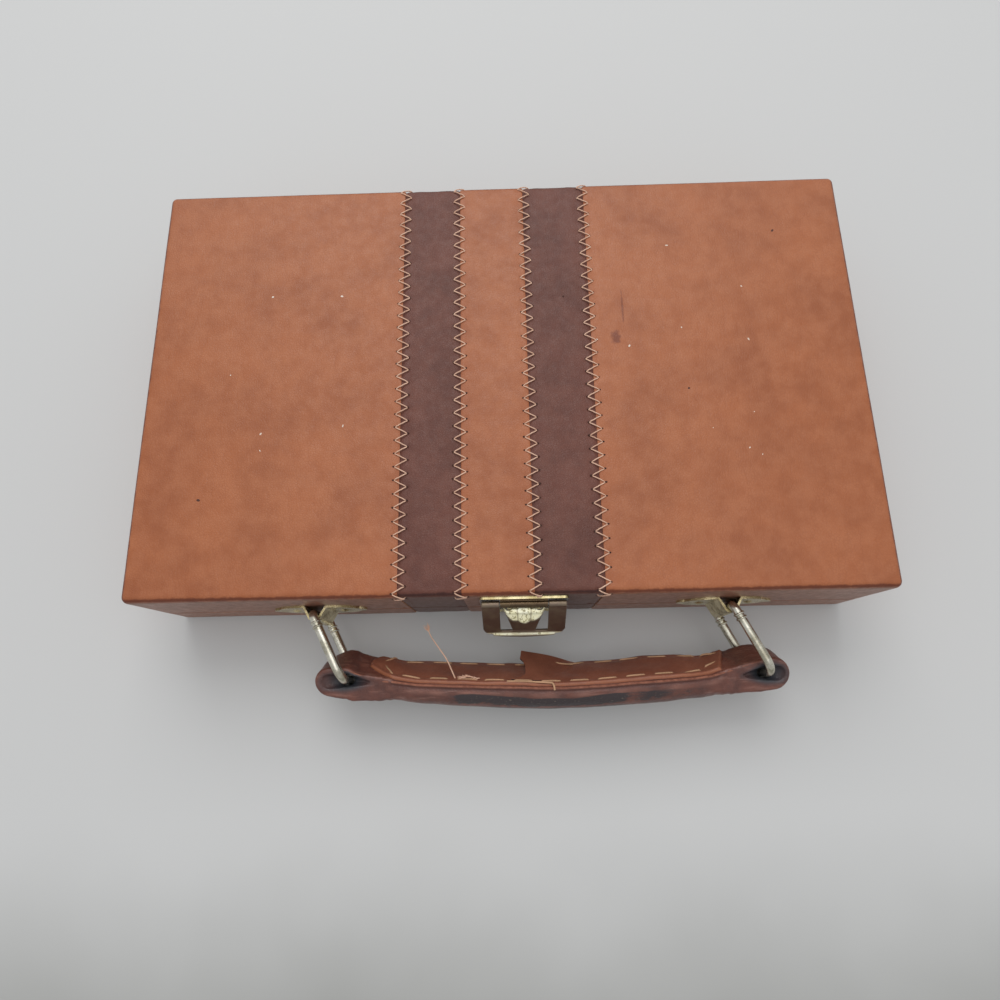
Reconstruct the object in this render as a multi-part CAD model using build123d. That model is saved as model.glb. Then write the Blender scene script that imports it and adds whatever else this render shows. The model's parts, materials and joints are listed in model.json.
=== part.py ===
from build123d import *

import math
import os

# A small leather covered case for a domino set, closed and lying on its base.
# Millimetres. The origin is the centre of the underside, +Z is up, the latch
# and the handle are on the -Y side and the hinges on the +Y side.

# The closed case
CASE_WIDTH = 254.0
CASE_DEPTH = 156.6
CASE_HEIGHT = 47.0
BASE_HEIGHT = 17.0
SEAM_GAP = 0.4
CORNER_RADIUS = 3.0
EDGE_RADIUS = 2.0

# Sheet and board thicknesses
LEATHER = 1.2
WALL = 5.0
PANEL = 3.5
FELT = 0.8
LID_PAD = 4.5

# Leather bands that run front to back, counted from the left
FIRST_STRIPE_X = -36.0
LEFT_STRIPE_WIDTH = 21.0
CENTRE_BAND_WIDTH = 23.7
RIGHT_STRIPE_WIDTH = 23.0

# The tray that holds the tiles
TRAY_WALL = 2.2
TRAY_RISE = 8.0
TRAY_CLEARANCE = 0.7
DIVIDER = 6.0
DIVIDER_CLEARANCE = 0.1
WELL_COUNT = 4

# Rivets, shared by every plate
RIVET_SHANK_RADIUS = 0.9
RIVET_HEAD_RADIUS = 1.7
RIVET_HEAD_HEIGHT = 0.6
RIVET_CLEARANCE = 0.05

# Butt hinges on the back
HINGE_OFFSET_X = 72.0
HINGE_WIDTH = 26.0
HINGE_LEAF_HEIGHT = 12.0
HINGE_LEAF = 0.9
HINGE_BARREL_RADIUS = 2.1
HINGE_PIN_RADIUS = 1.0
HINGE_FIT = 0.06
HINGE_KNUCKLES = 5
KNUCKLE_GAP = 0.2
HINGE_STANDOFF = 0.1
HINGE_RIVETS = 3
HINGE_RIVET_PITCH = 8.0

# Handle plates, each a strip bent round the inner bar of its ring
PLATE = 0.8
HANDLE_CENTRE_X = 4.4
PLATE_SPACING = 142.8
PLATE_HALF_LENGTH = 16.5
PLATE_HEIGHT = 17.0
TUNNEL_HALF_WIDTH = 4.5
RING_STANDOFF = 3.0
PLATE_RIVET_X = 8.6
WING_BELLY = 0.84
WING_TIP = 0.32
WING_NOSE = 2.2

# Handle rings, each a closed loop of round wire
RING_WIRE_RADIUS = 1.5
RING_REACH = 24.6
RING_HEIGHT = 22.0
RING_CENTRE_Z = 23.0
RING_INNER_BEND = 2.2
RING_OUTER_BEND = 5.0
RING_CLEARANCE = 0.15
RING_SWAY = 26.5
BEAD_RADIUS = 0.4
BEAD_PLACES = (3.4, 5.0)

# Handle
HANDLE_TILT = 20.0
HANDLE_DROP = 3.0
GRIP_HALF_LENGTH = 54.0
GRIP_WIDTH = 19.0
GRIP_END_WIDTH = 17.0
GRIP_CREST = 7.2
GRIP_END_CREST = 4.9
GRIP_CASE_SIDE = 3.6
GRIP_END_CASE_SIDE = 3.2
GRIP_EDGE = 2.2
GRIP_BOW = 1.6
GRIP_END_OFFSET = -1.5
GRIP_SECTIONS = 5
COVER = 1.6
CORE_HALF_LENGTH = 47.0
FACING = 1.2
FACING_HALF_LENGTH = 49.0
FACING_MARGIN = 1.4
FACING_GAP = 0.05
LOOP_RADIUS = 6.8
LOOP_STRAP = 2.1
LOOP_SHIFT = 0.35
LOOP_SLACK = 1.2
LOOP_WIDTH = 14.4
LOOP_NECK_X = 52.0
LOOP_NECK_RADIUS = 3.9
LOOP_HOLE_NECK_X = 63.5
LOOP_HOLE_NECK_RADIUS = 0.7
LOOP_EDGE_RADIUS = 0.6

# Latch
LATCH_X = 5.2
LATCH_WIDTH = 29.4
LATCH_PLATE_TOP = 44.0
LATCH_PLATE_LIFT = 0.6
LATCH_PIN_Z = 41.0
LATCH_PIN_RADIUS = 0.6
LATCH_FIT = 0.05
LATCH_BARREL_RADIUS = 1.2
LATCH_STANDOFF = 0.1
LATCH_RIVET_FOOT = 5.0
LATCH_RIVET_DROP = 5.5
HASP_WIDTH = 28.2
HASP_ARM = 6.0
HASP_SHEET = 0.9
HASP_OFFSET = 0.2
HASP_LENGTH = 18.2
HASP_FOOT = 3.0
HASP_CORNER = 4.0
HASP_REST_ANGLE = 25.0
HASP_LIP_RADIUS = 1.1
TONGUE_TOP = 4.1
TONGUE_TOP_WIDTH = 13.0
TONGUE_FOOT_WIDTH = 8.0
LOBE_COUNT = 3
LOBE_TOP_RADIUS = 2.1
LOBE_FOOT_RADIUS = 1.2
LOBE_SUNK = 1.5
LOBE_PROUD = 2.4

# Catch on the base
CATCH_WIDTH = 24.0
CATCH_PLATE_LOW = 5.5
CATCH_STRIP_WIDTH = 11.0
CATCH_STRIP_LOW = 8.0
CATCH_GAP = 0.3
CATCH_SHEET = 0.8
CATCH_HOOK_REACH = 1.8
CATCH_HOOK_THICKNESS = 0.9
CATCH_HOOK_GAP = 0.5
CATCH_RIVET_X = 9.0

# Heights and faces that follow from the sizes above
LID_LOW = BASE_HEIGHT + SEAM_GAP
SEAM_Z = BASE_HEIGHT + SEAM_GAP / 2
FRONT_Y = -CASE_DEPTH / 2
BACK_Y = CASE_DEPTH / 2
INSIDE_WIDTH = CASE_WIDTH - 2 * (LEATHER + WALL)
INSIDE_DEPTH = CASE_DEPTH - 2 * (LEATHER + WALL)
BASE_INSIDE_Z = LEATHER + PANEL
LID_INSIDE_Z = CASE_HEIGHT - LEATHER - PANEL
TRAY_FLOOR_Z = BASE_INSIDE_Z + FELT
TRAY_TOP_Z = BASE_HEIGHT + TRAY_RISE
TRAY_WIDTH = INSIDE_WIDTH - 2 * (FELT + TRAY_CLEARANCE)
TRAY_DEPTH = INSIDE_DEPTH - 2 * (FELT + TRAY_CLEARANCE)
WELLS_WIDTH = TRAY_WIDTH - 2 * TRAY_WALL
WELLS_DEPTH = TRAY_DEPTH - 2 * TRAY_WALL
WELL_WIDTH = (WELLS_WIDTH - (WELL_COUNT - 1) * DIVIDER) / WELL_COUNT
SEAMS_X = (
    FIRST_STRIPE_X,
    FIRST_STRIPE_X + LEFT_STRIPE_WIDTH,
    FIRST_STRIPE_X + LEFT_STRIPE_WIDTH + CENTRE_BAND_WIDTH,
    FIRST_STRIPE_X + LEFT_STRIPE_WIDTH + CENTRE_BAND_WIDTH + RIGHT_STRIPE_WIDTH,
)
BAND_NAMES = (
    "leather_left",
    "stripe_left",
    "leather_centre",
    "stripe_right",
    "leather_right",
)
HINGE_Y = BACK_Y + HINGE_STANDOFF + HINGE_BARREL_RADIUS
PIVOT_Y = FRONT_Y - RING_STANDOFF
PIVOTS_X = (
    HANDLE_CENTRE_X - PLATE_SPACING / 2,
    HANDLE_CENTRE_X + PLATE_SPACING / 2,
)
LATCH_PIN_Y = FRONT_Y - PLATE - LATCH_STANDOFF - LATCH_BARREL_RADIUS
ARM_INNER = HASP_WIDTH / 2 - HASP_ARM
HINGE_CENTRES_X = (-HINGE_OFFSET_X, HINGE_OFFSET_X)
PLATE_RIVETS_X = [x + s * PLATE_RIVET_X for x in PIVOTS_X for s in (-1, 1)]
LATCH_RIVETS_X = [LATCH_X + s * (ARM_INNER + HASP_ARM / 2) for s in (-1, 1)]
LATCH_RIVETS_Z = (LID_LOW + LATCH_RIVET_FOOT, LATCH_PIN_Z - LATCH_RIVET_DROP)
CATCH_RIVETS_X = [LATCH_X + s * CATCH_RIVET_X for s in (-1, 1)]
CATCH_RIVET_Z = (CATCH_PLATE_LOW + BASE_HEIGHT) / 2


def block(x0, x1, y0, y1, z0, z1):
    """A box between two corners."""
    centre = Pos((x0 + x1) / 2, (y0 + y1) / 2, (z0 + z1) / 2)
    return centre * Box(x1 - x0, y1 - y0, z1 - z0)


def centred_block(width, depth, z0, z1):
    """A box centred on the case in plan."""
    return block(-width / 2, width / 2, -depth / 2, depth / 2, z0, z1)


def cylinder_x(radius, x0, x1, y, z):
    """A round bar along X."""
    return Pos((x0 + x1) / 2, y, z) * Rot(0, 90, 0) * Cylinder(radius, x1 - x0)


def rounded_block(width, depth, z0, z1, corner, edge, edge_up):
    """A box with rounded upright corners and one rounded rim, top or bottom."""
    plan = Plane.XY.offset(z0) * RectangleRounded(width, depth, corner)
    solid = extrude(plan, z1 - z0)
    levels = solid.edges().group_by(Axis.Z)
    return fillet(levels[-1] if edge_up else levels[0], edge)


# Rivets


def rivet(length):
    """A domed rivet along Z, with its head above z = 0 and its shank below."""
    dome_radius = (RIVET_HEAD_RADIUS**2 + RIVET_HEAD_HEIGHT**2) / (2 * RIVET_HEAD_HEIGHT)
    dome = Pos(0, 0, RIVET_HEAD_HEIGHT - dome_radius) * Sphere(dome_radius)
    head = Pos(0, 0, RIVET_HEAD_HEIGHT / 2) * Cylinder(RIVET_HEAD_RADIUS, RIVET_HEAD_HEIGHT)
    shank = Pos(0, 0, -length / 2) * Cylinder(RIVET_SHANK_RADIUS, length)
    return (head & dome) + shank


def rivets(places, face_y, outward, length):
    """Rivets in a plate's outer face, at (x, z) places, as one group."""
    turn = Rot(-90 * outward, 0, 0)
    solids = [Pos(x, face_y, z) * turn * rivet(length) for x, z in places]
    return Compound([s.solid() for s in solids])


def rivet_holes(places, face_y, outward, length):
    """The clearance holes of the same rivets."""
    radius = RIVET_SHANK_RADIUS + RIVET_CLEARANCE
    turn = Rot(-90 * outward, 0, 0)
    reach = length + 2 * RIVET_HEAD_HEIGHT
    return [Pos(x, face_y, z) * turn * Cylinder(radius, 2 * reach) for x, z in places]


def drilled(solid, holes):
    """A solid with a list of holes cut from it."""
    for hole in holes:
        solid = solid - hole
    return solid


def places(xs, zs):
    """Every (x, z) pair of two lists."""
    return [(x, z) for x in xs for z in zs]


SHANK_DEPTH = PLATE + LEATHER + WALL
HINGE_SHANK_DEPTH = HINGE_LEAF + LEATHER + WALL
HINGE_RIVETS_X = [
    centre + (i - (HINGE_RIVETS - 1) / 2) * HINGE_RIVET_PITCH
    for centre in HINGE_CENTRES_X
    for i in range(HINGE_RIVETS)
]
HINGE_RIVET_RISE = HINGE_BARREL_RADIUS + (HINGE_LEAF_HEIGHT - HINGE_BARREL_RADIUS) / 2
PLATE_RIVET_PLACES = places(PLATE_RIVETS_X, (RING_CENTRE_Z,))
LATCH_RIVET_PLACES = places(LATCH_RIVETS_X, LATCH_RIVETS_Z)
CATCH_RIVET_PLACES = places(CATCH_RIVETS_X, (CATCH_RIVET_Z,))
LID_HINGE_PLACES = places(HINGE_RIVETS_X, (SEAM_Z + HINGE_RIVET_RISE,))
BASE_HINGE_PLACES = places(HINGE_RIVETS_X, (SEAM_Z - HINGE_RIVET_RISE,))


# Wooden boxes and their leather covers


def box_walls(low, high, holes):
    """Front, back, left and right boards of one half of the case."""
    outer_x = CASE_WIDTH / 2 - LEATHER
    outer_y = CASE_DEPTH / 2 - LEATHER
    inner_x = INSIDE_WIDTH / 2
    inner_y = INSIDE_DEPTH / 2
    front = block(-outer_x, outer_x, -outer_y, -inner_y, low, high)
    back = block(-outer_x, outer_x, inner_y, outer_y, low, high)
    left = block(-outer_x, -inner_x, -inner_y, inner_y, low, high)
    right = block(inner_x, outer_x, -inner_y, inner_y, low, high)
    rounding = CORNER_RADIUS - LEATHER
    front = fillet(front.edges().filter_by(Axis.Z).group_by(Axis.Y)[0], rounding)
    back = fillet(back.edges().filter_by(Axis.Z).group_by(Axis.Y)[-1], rounding)
    return drilled(front, holes), drilled(back, holes), left, right


def board(z0, z1):
    """The top or bottom panel, inside the leather, over the walls."""
    width = CASE_WIDTH - 2 * LEATHER
    depth = CASE_DEPTH - 2 * LEATHER
    plan = Plane.XY.offset(z0) * RectangleRounded(width, depth, CORNER_RADIUS - LEATHER)
    return extrude(plan, z1 - z0)


def split_bands(skin):
    """The stitched bands of one leather cover, from left to right."""
    limits = (-CASE_WIDTH, *SEAMS_X, CASE_WIDTH)
    bands = {}
    for name, x0, x1 in zip(BAND_NAMES, limits[:-1], limits[1:]):
        slab = block(x0, x1, -CASE_DEPTH, CASE_DEPTH, -CASE_HEIGHT, 2 * CASE_HEIGHT)
        bands[name] = skin & slab
    return bands


def base_box(parts):
    """The shallow lower half: panel, boards and the leather round them."""
    holes = rivet_holes(CATCH_RIVET_PLACES, FRONT_Y - CATCH_SHEET, -1, SHANK_DEPTH)
    holes += rivet_holes(BASE_HINGE_PLACES, BACK_Y + HINGE_LEAF, 1, HINGE_SHANK_DEPTH)
    rim = BASE_HEIGHT - LEATHER
    walls = box_walls(BASE_INSIDE_Z, rim, holes)
    for side, wall in zip(("front", "back", "left", "right"), walls):
        parts[f"base_{side}_wall"] = wall
    parts["base_floor_panel"] = board(LEATHER, BASE_INSIDE_Z)
    skin = rounded_block(
        CASE_WIDTH, CASE_DEPTH, 0, BASE_HEIGHT, CORNER_RADIUS, EDGE_RADIUS, False
    )
    skin -= board(LEATHER, rim)
    skin -= centred_block(INSIDE_WIDTH, INSIDE_DEPTH, LEATHER, CASE_HEIGHT)
    for band, piece in split_bands(drilled(skin, holes)).items():
        parts[f"base_{band}"] = piece


def lid_box(parts):
    """The deep upper half: panel, boards and the leather round them."""
    holes = rivet_holes(PLATE_RIVET_PLACES + LATCH_RIVET_PLACES, FRONT_Y, -1, SHANK_DEPTH)
    holes += rivet_holes(LID_HINGE_PLACES, BACK_Y + HINGE_LEAF, 1, HINGE_SHANK_DEPTH)
    rim = LID_LOW + LEATHER
    walls = box_walls(rim, LID_INSIDE_Z, holes)
    for side, wall in zip(("front", "back", "left", "right"), walls):
        parts[f"lid_{side}_wall"] = wall
    parts["lid_top_panel"] = board(LID_INSIDE_Z, CASE_HEIGHT - LEATHER)
    skin = rounded_block(
        CASE_WIDTH, CASE_DEPTH, LID_LOW, CASE_HEIGHT, CORNER_RADIUS, EDGE_RADIUS, True
    )
    skin -= board(rim, CASE_HEIGHT - LEATHER)
    skin -= centred_block(INSIDE_WIDTH, INSIDE_DEPTH, 0, CASE_HEIGHT - LEATHER)
    for band, piece in split_bands(drilled(skin, holes)).items():
        parts[f"lid_{band}"] = piece


# Linings and the tray


def linings(parts):
    """Felt on the floor and the lid's sides, and the padded sheet in the lid."""
    parts["tray_floor_lining"] = centred_block(
        INSIDE_WIDTH, INSIDE_DEPTH, BASE_INSIDE_Z, TRAY_FLOOR_Z
    )
    pad_low = LID_INSIDE_Z - LID_PAD
    outer = centred_block(INSIDE_WIDTH, INSIDE_DEPTH, LID_LOW, LID_INSIDE_Z)
    inner_width = INSIDE_WIDTH - 2 * FELT
    inner_depth = INSIDE_DEPTH - 2 * FELT
    lining = outer - centred_block(inner_width, inner_depth, LID_LOW, LID_INSIDE_Z)
    parts["lid_side_lining"] = lining
    pad = centred_block(inner_width, inner_depth, pad_low, LID_INSIDE_Z)
    rim = pad.edges().group_by(Axis.Z)[0]
    parts["lid_pad"] = fillet(rim, LID_PAD * 0.4)


def mitred_strips(frame):
    """The tray frame cut at 45 degrees into its four strips."""
    reach = 2 * (FELT + TRAY_CLEARANCE + TRAY_WALL)
    signs = ((-1, -1), (1, -1), (1, 1), (-1, 1))
    outer = [(sx * INSIDE_WIDTH / 2, sy * INSIDE_DEPTH / 2) for sx, sy in signs]
    inner = [(x - sx * reach, y - sy * reach) for (x, y), (sx, sy) in zip(outer, signs)]
    strips = []
    for i in range(4):
        j = (i + 1) % 4
        outline = Polyline(outer[i], outer[j], inner[j], inner[i], close=True)
        wedge = extrude(make_face(outline), CASE_HEIGHT)
        strips.append((frame & wedge).solid())
    return Compound(strips)


def tray(parts):
    """The felt covered frame and its dividers, standing on the floor lining."""
    low = centred_block(INSIDE_WIDTH, INSIDE_DEPTH, TRAY_FLOOR_Z, BASE_HEIGHT)
    high = centred_block(TRAY_WIDTH, TRAY_DEPTH, TRAY_FLOOR_Z, TRAY_TOP_Z)
    hollow = centred_block(WELLS_WIDTH, WELLS_DEPTH, 0, CASE_HEIGHT)
    frame = low + high - hollow
    top_edges = frame.edges().group_by(Axis.Z)[-1]
    parts["tray_frame"] = mitred_strips(fillet(top_edges, TRAY_WALL * 0.3))
    half_depth = WELLS_DEPTH / 2 - DIVIDER_CLEARANCE
    names = ("left", "middle", "right")
    for i in range(WELL_COUNT - 1):
        x0 = -WELLS_WIDTH / 2 + (i + 1) * WELL_WIDTH + i * DIVIDER
        bar = block(x0, x0 + DIVIDER, -half_depth, half_depth, TRAY_FLOOR_Z, TRAY_TOP_Z)
        long_edges = bar.edges().filter_by(Axis.Y).group_by(Axis.Z)[-1]
        name = names[i] if WELL_COUNT == 4 else str(i + 1)
        parts[f"divider_{name}"] = fillet(long_edges, DIVIDER * 0.3)


# Hinges


def hinge_leaf(centre_x, up):
    """One leaf of a butt hinge, with its own knuckles on the common pin."""
    z_far = SEAM_Z + up * HINGE_LEAF_HEIGHT
    z_near = SEAM_Z + up * SEAM_GAP
    low = min(z_far, z_near)
    high = max(z_far, z_near)
    x0 = centre_x - HINGE_WIDTH / 2
    x1 = centre_x + HINGE_WIDTH / 2
    leaf = block(x0, x1, BACK_Y, BACK_Y + HINGE_LEAF, low, high)
    far_corners = leaf.edges().filter_by(Axis.Y).group_by(Axis.Z)[-1 if up > 0 else 0]
    leaf = fillet(far_corners, HINGE_LEAF_HEIGHT * 0.15)
    pitch = HINGE_WIDTH / HINGE_KNUCKLES
    for i in range(HINGE_KNUCKLES):
        k0 = x0 + i * pitch
        mine = i % 2 == (0 if up < 0 else 1)
        gap = KNUCKLE_GAP / 2
        if mine:
            leaf += cylinder_x(
                HINGE_BARREL_RADIUS, k0 + gap, k0 + pitch - gap, HINGE_Y, SEAM_Z
            )
        else:
            relief = HINGE_BARREL_RADIUS + KNUCKLE_GAP
            leaf -= cylinder_x(relief, k0 - gap, k0 + pitch + gap, HINGE_Y, SEAM_Z)
    bore = HINGE_PIN_RADIUS + HINGE_FIT
    return leaf - cylinder_x(bore, x0 - 1, x1 + 1, HINGE_Y, SEAM_Z)


def hinges(parts):
    """Two butt hinges with their pins and rivets."""
    lid_holes = rivet_holes(LID_HINGE_PLACES, BACK_Y, 1, HINGE_SHANK_DEPTH)
    base_holes = rivet_holes(BASE_HINGE_PLACES, BACK_Y, 1, HINGE_SHANK_DEPTH)
    for side, x in zip(("left", "right"), HINGE_CENTRES_X):
        parts[f"hinge_base_leaf_{side}"] = drilled(hinge_leaf(x, -1), base_holes)
        parts[f"hinge_lid_leaf_{side}"] = drilled(hinge_leaf(x, 1), lid_holes)
        half = HINGE_WIDTH / 2
        parts[f"hinge_pin_{side}"] = cylinder_x(
            HINGE_PIN_RADIUS, x - half, x + half, HINGE_Y, SEAM_Z
        )
    face = BACK_Y + HINGE_LEAF
    parts["hinge_lid_rivets"] = rivets(LID_HINGE_PLACES, face, 1, HINGE_SHANK_DEPTH)
    parts["hinge_base_rivets"] = rivets(BASE_HINGE_PLACES, face, 1, HINGE_SHANK_DEPTH)


# Handle plates and rings


def handle_plate(x):
    """A strip with two leaf shaped wings, bent into a tunnel for the ring."""
    nose_inner = RING_WIRE_RADIUS + RING_CLEARANCE
    nose_outer = nose_inner + PLATE
    half = PLATE_HEIGHT / 2
    z0 = RING_CENTRE_Z - half
    foot = TUNNEL_HALF_WIDTH
    foot_inner = TUNNEL_HALF_WIDTH - PLATE
    outer = tunnel_plan(x, foot, nose_outer)
    inner = tunnel_plan(x, foot_inner, nose_inner)
    tunnel = extrude(Plane.XY.offset(z0) * (outer - inner), PLATE_HEIGHT)
    wing = None
    for side in (-1, 1):
        root_x = x + side * foot_inner
        tip_x = x + side * PLATE_HALF_LENGTH
        mid_x = (root_x + tip_x) / 2
        nose_x = tip_x - side * WING_NOSE
        belly = half * WING_BELLY
        end = half * WING_TIP
        upper = ThreePointArc((root_x, half), (mid_x, belly), (nose_x, end))
        nose = ThreePointArc((nose_x, end), (tip_x, 0), (nose_x, -end))
        lower = ThreePointArc((nose_x, -end), (mid_x, -belly), (root_x, -half))
        root = Line((root_x, -half), (root_x, half))
        face = make_face([upper, nose, lower, root])
        leaf = extrude(Plane.XZ.offset(-FRONT_Y) * Pos(0, RING_CENTRE_Z) * face, PLATE)
        wing = leaf if wing is None else wing + leaf
    holes = rivet_holes(PLATE_RIVET_PLACES, FRONT_Y, -1, SHANK_DEPTH)
    return drilled(tunnel + wing, holes)


def tunnel_plan(x, foot, nose):
    """A tapered outline from the case's face out round the ring's bar."""
    rest = Line((x - foot, FRONT_Y), (x + foot, FRONT_Y))
    tip = CenterArc((x, PIVOT_Y), nose, 0, 360)
    return make_hull([rest, tip])


def ring(x):
    """A loop of round wire, swayed to the right about its bar in the plate."""
    outline = Rectangle(RING_REACH, RING_HEIGHT)
    ends = outline.vertices().group_by(Axis.X)
    outline = fillet(ends[0], RING_INNER_BEND)
    ends = outline.vertices().group_by(Axis.X)
    outline = fillet(ends[-1], RING_OUTER_BEND)
    path = (Plane.XZ * outline).face().outer_wire()
    start = Plane(origin=path @ 0, z_dir=path % 0)
    wire = sweep(start * Circle(RING_WIRE_RADIUS), path=path)
    for place in BEAD_PLACES:
        for side in (-1, 1):
            spot = Pos(place - RING_REACH / 2, 0, side * RING_HEIGHT / 2)
            wire += spot * Rot(0, 90, 0) * Torus(RING_WIRE_RADIUS, BEAD_RADIUS)
    place = Pos(x, PIVOT_Y, RING_CENTRE_Z) * Rot(0, 0, RING_SWAY - 90)
    return place * Pos(RING_REACH / 2, 0, 0) * wire


# Handle, built level along X about the middle between its two loops


def grip_swell(x):
    """How far the grip has swelled at x, from 0 at its ends to 1 in the middle."""
    return 1 - (x / GRIP_HALF_LENGTH) ** 2


def grip_width(x):
    """The grip's height from edge to edge at x."""
    return GRIP_END_WIDTH + (GRIP_WIDTH - GRIP_END_WIDTH) * grip_swell(x)


def grip_flat(x):
    """How far the grip's flat face stands towards the case at x."""
    return GRIP_END_CASE_SIDE + (GRIP_CASE_SIDE - GRIP_END_CASE_SIDE) * grip_swell(x)


def grip_section(x, inset):
    """The grip's cross section at x: flat towards the case, crowned outwards."""
    width = grip_width(x) - 2 * inset
    crest = GRIP_END_CREST + (GRIP_CREST - GRIP_END_CREST) * grip_swell(x) - inset
    flat = grip_flat(x) - inset
    edge = GRIP_EDGE - inset
    half = width / 2
    outline = [
        Line((-half, -flat), (half, -flat)),
        Line((half, -flat), (half, edge - flat)),
        ThreePointArc((half, edge - flat), (0, crest), (-half, edge - flat)),
        Line((-half, edge - flat), (-half, -flat)),
    ]
    return grip_plane(x) * make_face(outline)


def grip_plane(x):
    """The plane of a cross section, its first axis up and its second outwards."""
    centre = (x, GRIP_END_OFFSET - GRIP_BOW * grip_swell(x), 0)
    return Plane(origin=centre, x_dir=(0, 0, 1), z_dir=(1, 0, 0))


def stations(half_length):
    """Places along the grip, evenly spaced from end to end."""
    step = 2 * half_length / (GRIP_SECTIONS - 1)
    return [-half_length + i * step for i in range(GRIP_SECTIONS)]


def loop_outline(hole):
    """The plan of the right end loop, or of the hole in it."""
    eye_x = PLATE_SPACING / 2 + LOOP_SLACK
    eye = LOOP_RADIUS - LOOP_STRAP if hole else LOOP_RADIUS
    neck_x = LOOP_HOLE_NECK_X if hole else LOOP_NECK_X
    neck = LOOP_HOLE_NECK_RADIUS if hole else LOOP_NECK_RADIUS
    share = (eye_x - neck_x) / (eye_x - LOOP_NECK_X)
    neck_y = LOOP_SHIFT + (GRIP_END_OFFSET - LOOP_SHIFT) * share
    edges = [
        CenterArc((eye_x, LOOP_SHIFT), eye, 0, 360),
        CenterArc((neck_x, neck_y), neck, 0, 360),
    ]
    return make_hull(edges)


def end_loop():
    """The strap loop at the right end of the handle."""
    plan = loop_outline(False) - loop_outline(True)
    loop = extrude(Plane.XY.offset(-LOOP_WIDTH / 2) * plan, LOOP_WIDTH)
    levels = loop.edges().group_by(Axis.Z)
    return fillet(levels[0] + levels[-1], LOOP_EDGE_RADIUS)


def handle(parts):
    """The leather cover with its two loops, the core and the stitched facing."""
    body = loft([grip_section(x, 0) for x in stations(GRIP_HALF_LENGTH)])
    core = loft([grip_section(x, COVER) for x in stations(CORE_HALF_LENGTH)])
    loop = end_loop()
    cover = body + loop + mirror(loop, about=Plane.YZ) - core
    strips = []
    for x in stations(FACING_HALF_LENGTH):
        centre = Pos(0, -grip_flat(x) - FACING_GAP - FACING / 2)
        strip = centre * Rectangle(grip_width(x) - 2 * FACING_MARGIN, FACING)
        strips.append(grip_plane(x) * strip)
    facing = loft(strips)
    sway = math.radians(RING_SWAY)
    place = Pos(
        HANDLE_CENTRE_X + RING_REACH * math.sin(sway),
        PIVOT_Y - RING_REACH * math.cos(sway),
        RING_CENTRE_Z - HANDLE_DROP,
    )
    tilt = place * Rot(HANDLE_TILT, 0, 0)
    parts["handle_cover"] = tilt * cover
    parts["handle_core"] = tilt * core
    parts["handle_facing"] = tilt * facing


# Latch


def latch_plate():
    """The plate on the lid that carries the hasp's pin in its middle knuckle."""
    half = LATCH_WIDTH / 2
    low = LID_LOW + LATCH_PLATE_LIFT
    plate = block(
        LATCH_X - half, LATCH_X + half, FRONT_Y - PLATE, FRONT_Y, low, LATCH_PLATE_TOP
    )
    plate = fillet(plate.edges().filter_by(Axis.Y), 1.5)
    gap = KNUCKLE_GAP
    k0 = LATCH_X - ARM_INNER + gap
    k1 = LATCH_X + ARM_INNER - gap
    web_half = LATCH_BARREL_RADIUS * 0.7
    web = block(
        k0, k1, LATCH_PIN_Y, FRONT_Y - PLATE, LATCH_PIN_Z - web_half, LATCH_PIN_Z + web_half
    )
    knuckle = cylinder_x(LATCH_BARREL_RADIUS, k0, k1, LATCH_PIN_Y, LATCH_PIN_Z)
    bore = cylinder_x(LATCH_PIN_RADIUS + LATCH_FIT, k0 - 1, k1 + 1, LATCH_PIN_Y, LATCH_PIN_Z)
    holes = rivet_holes(LATCH_RIVET_PLACES, FRONT_Y, -1, SHANK_DEPTH)
    return drilled(plate + web + knuckle - bore, holes)


def hasp():
    """The hinged frame with its fan shaped tongue, built shut and then swung out."""
    half = HASP_WIDTH / 2
    sheet = Pos(0, -HASP_LENGTH / 2) * Rectangle(HASP_WIDTH, HASP_LENGTH)
    sheet = fillet(sheet.vertices().group_by(Axis.Y)[0], HASP_CORNER)
    foot_y = -(HASP_LENGTH - HASP_FOOT)
    window = block_plan(-ARM_INNER, ARM_INNER, foot_y, LATCH_BARREL_RADIUS)
    tongue = make_face(
        Polyline(
            (-TONGUE_TOP_WIDTH / 2, -TONGUE_TOP),
            (TONGUE_TOP_WIDTH / 2, -TONGUE_TOP),
            (TONGUE_FOOT_WIDTH / 2, foot_y - HASP_FOOT / 2),
            (-TONGUE_FOOT_WIDTH / 2, foot_y - HASP_FOOT / 2),
            close=True,
        )
    )
    plan = sheet - window + tongue
    frame = extrude(Plane.XZ.offset(HASP_OFFSET) * plan, HASP_SHEET)
    for side in (-1, 1):
        x0 = min(side * ARM_INNER, side * half)
        x1 = max(side * ARM_INNER, side * half)
        frame += cylinder_x(LATCH_BARREL_RADIUS, x0, x1, 0, 0)
    frame += tongue_lobes(foot_y)
    lip_y = -HASP_OFFSET - HASP_SHEET
    frame += cylinder_x(
        HASP_LIP_RADIUS, HASP_CORNER - half, half - HASP_CORNER, lip_y, -HASP_LENGTH
    )
    frame -= cylinder_x(LATCH_PIN_RADIUS + LATCH_FIT, -half - 1, half + 1, 0, 0)
    place = Pos(LATCH_X, LATCH_PIN_Y, LATCH_PIN_Z) * Rot(-HASP_REST_ANGLE, 0, 0)
    return place * frame


def block_plan(x0, x1, y0, y1):
    """A rectangle between two corners."""
    return Pos((x0 + x1) / 2, (y0 + y1) / 2) * Rectangle(x1 - x0, y1 - y0)


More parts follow.
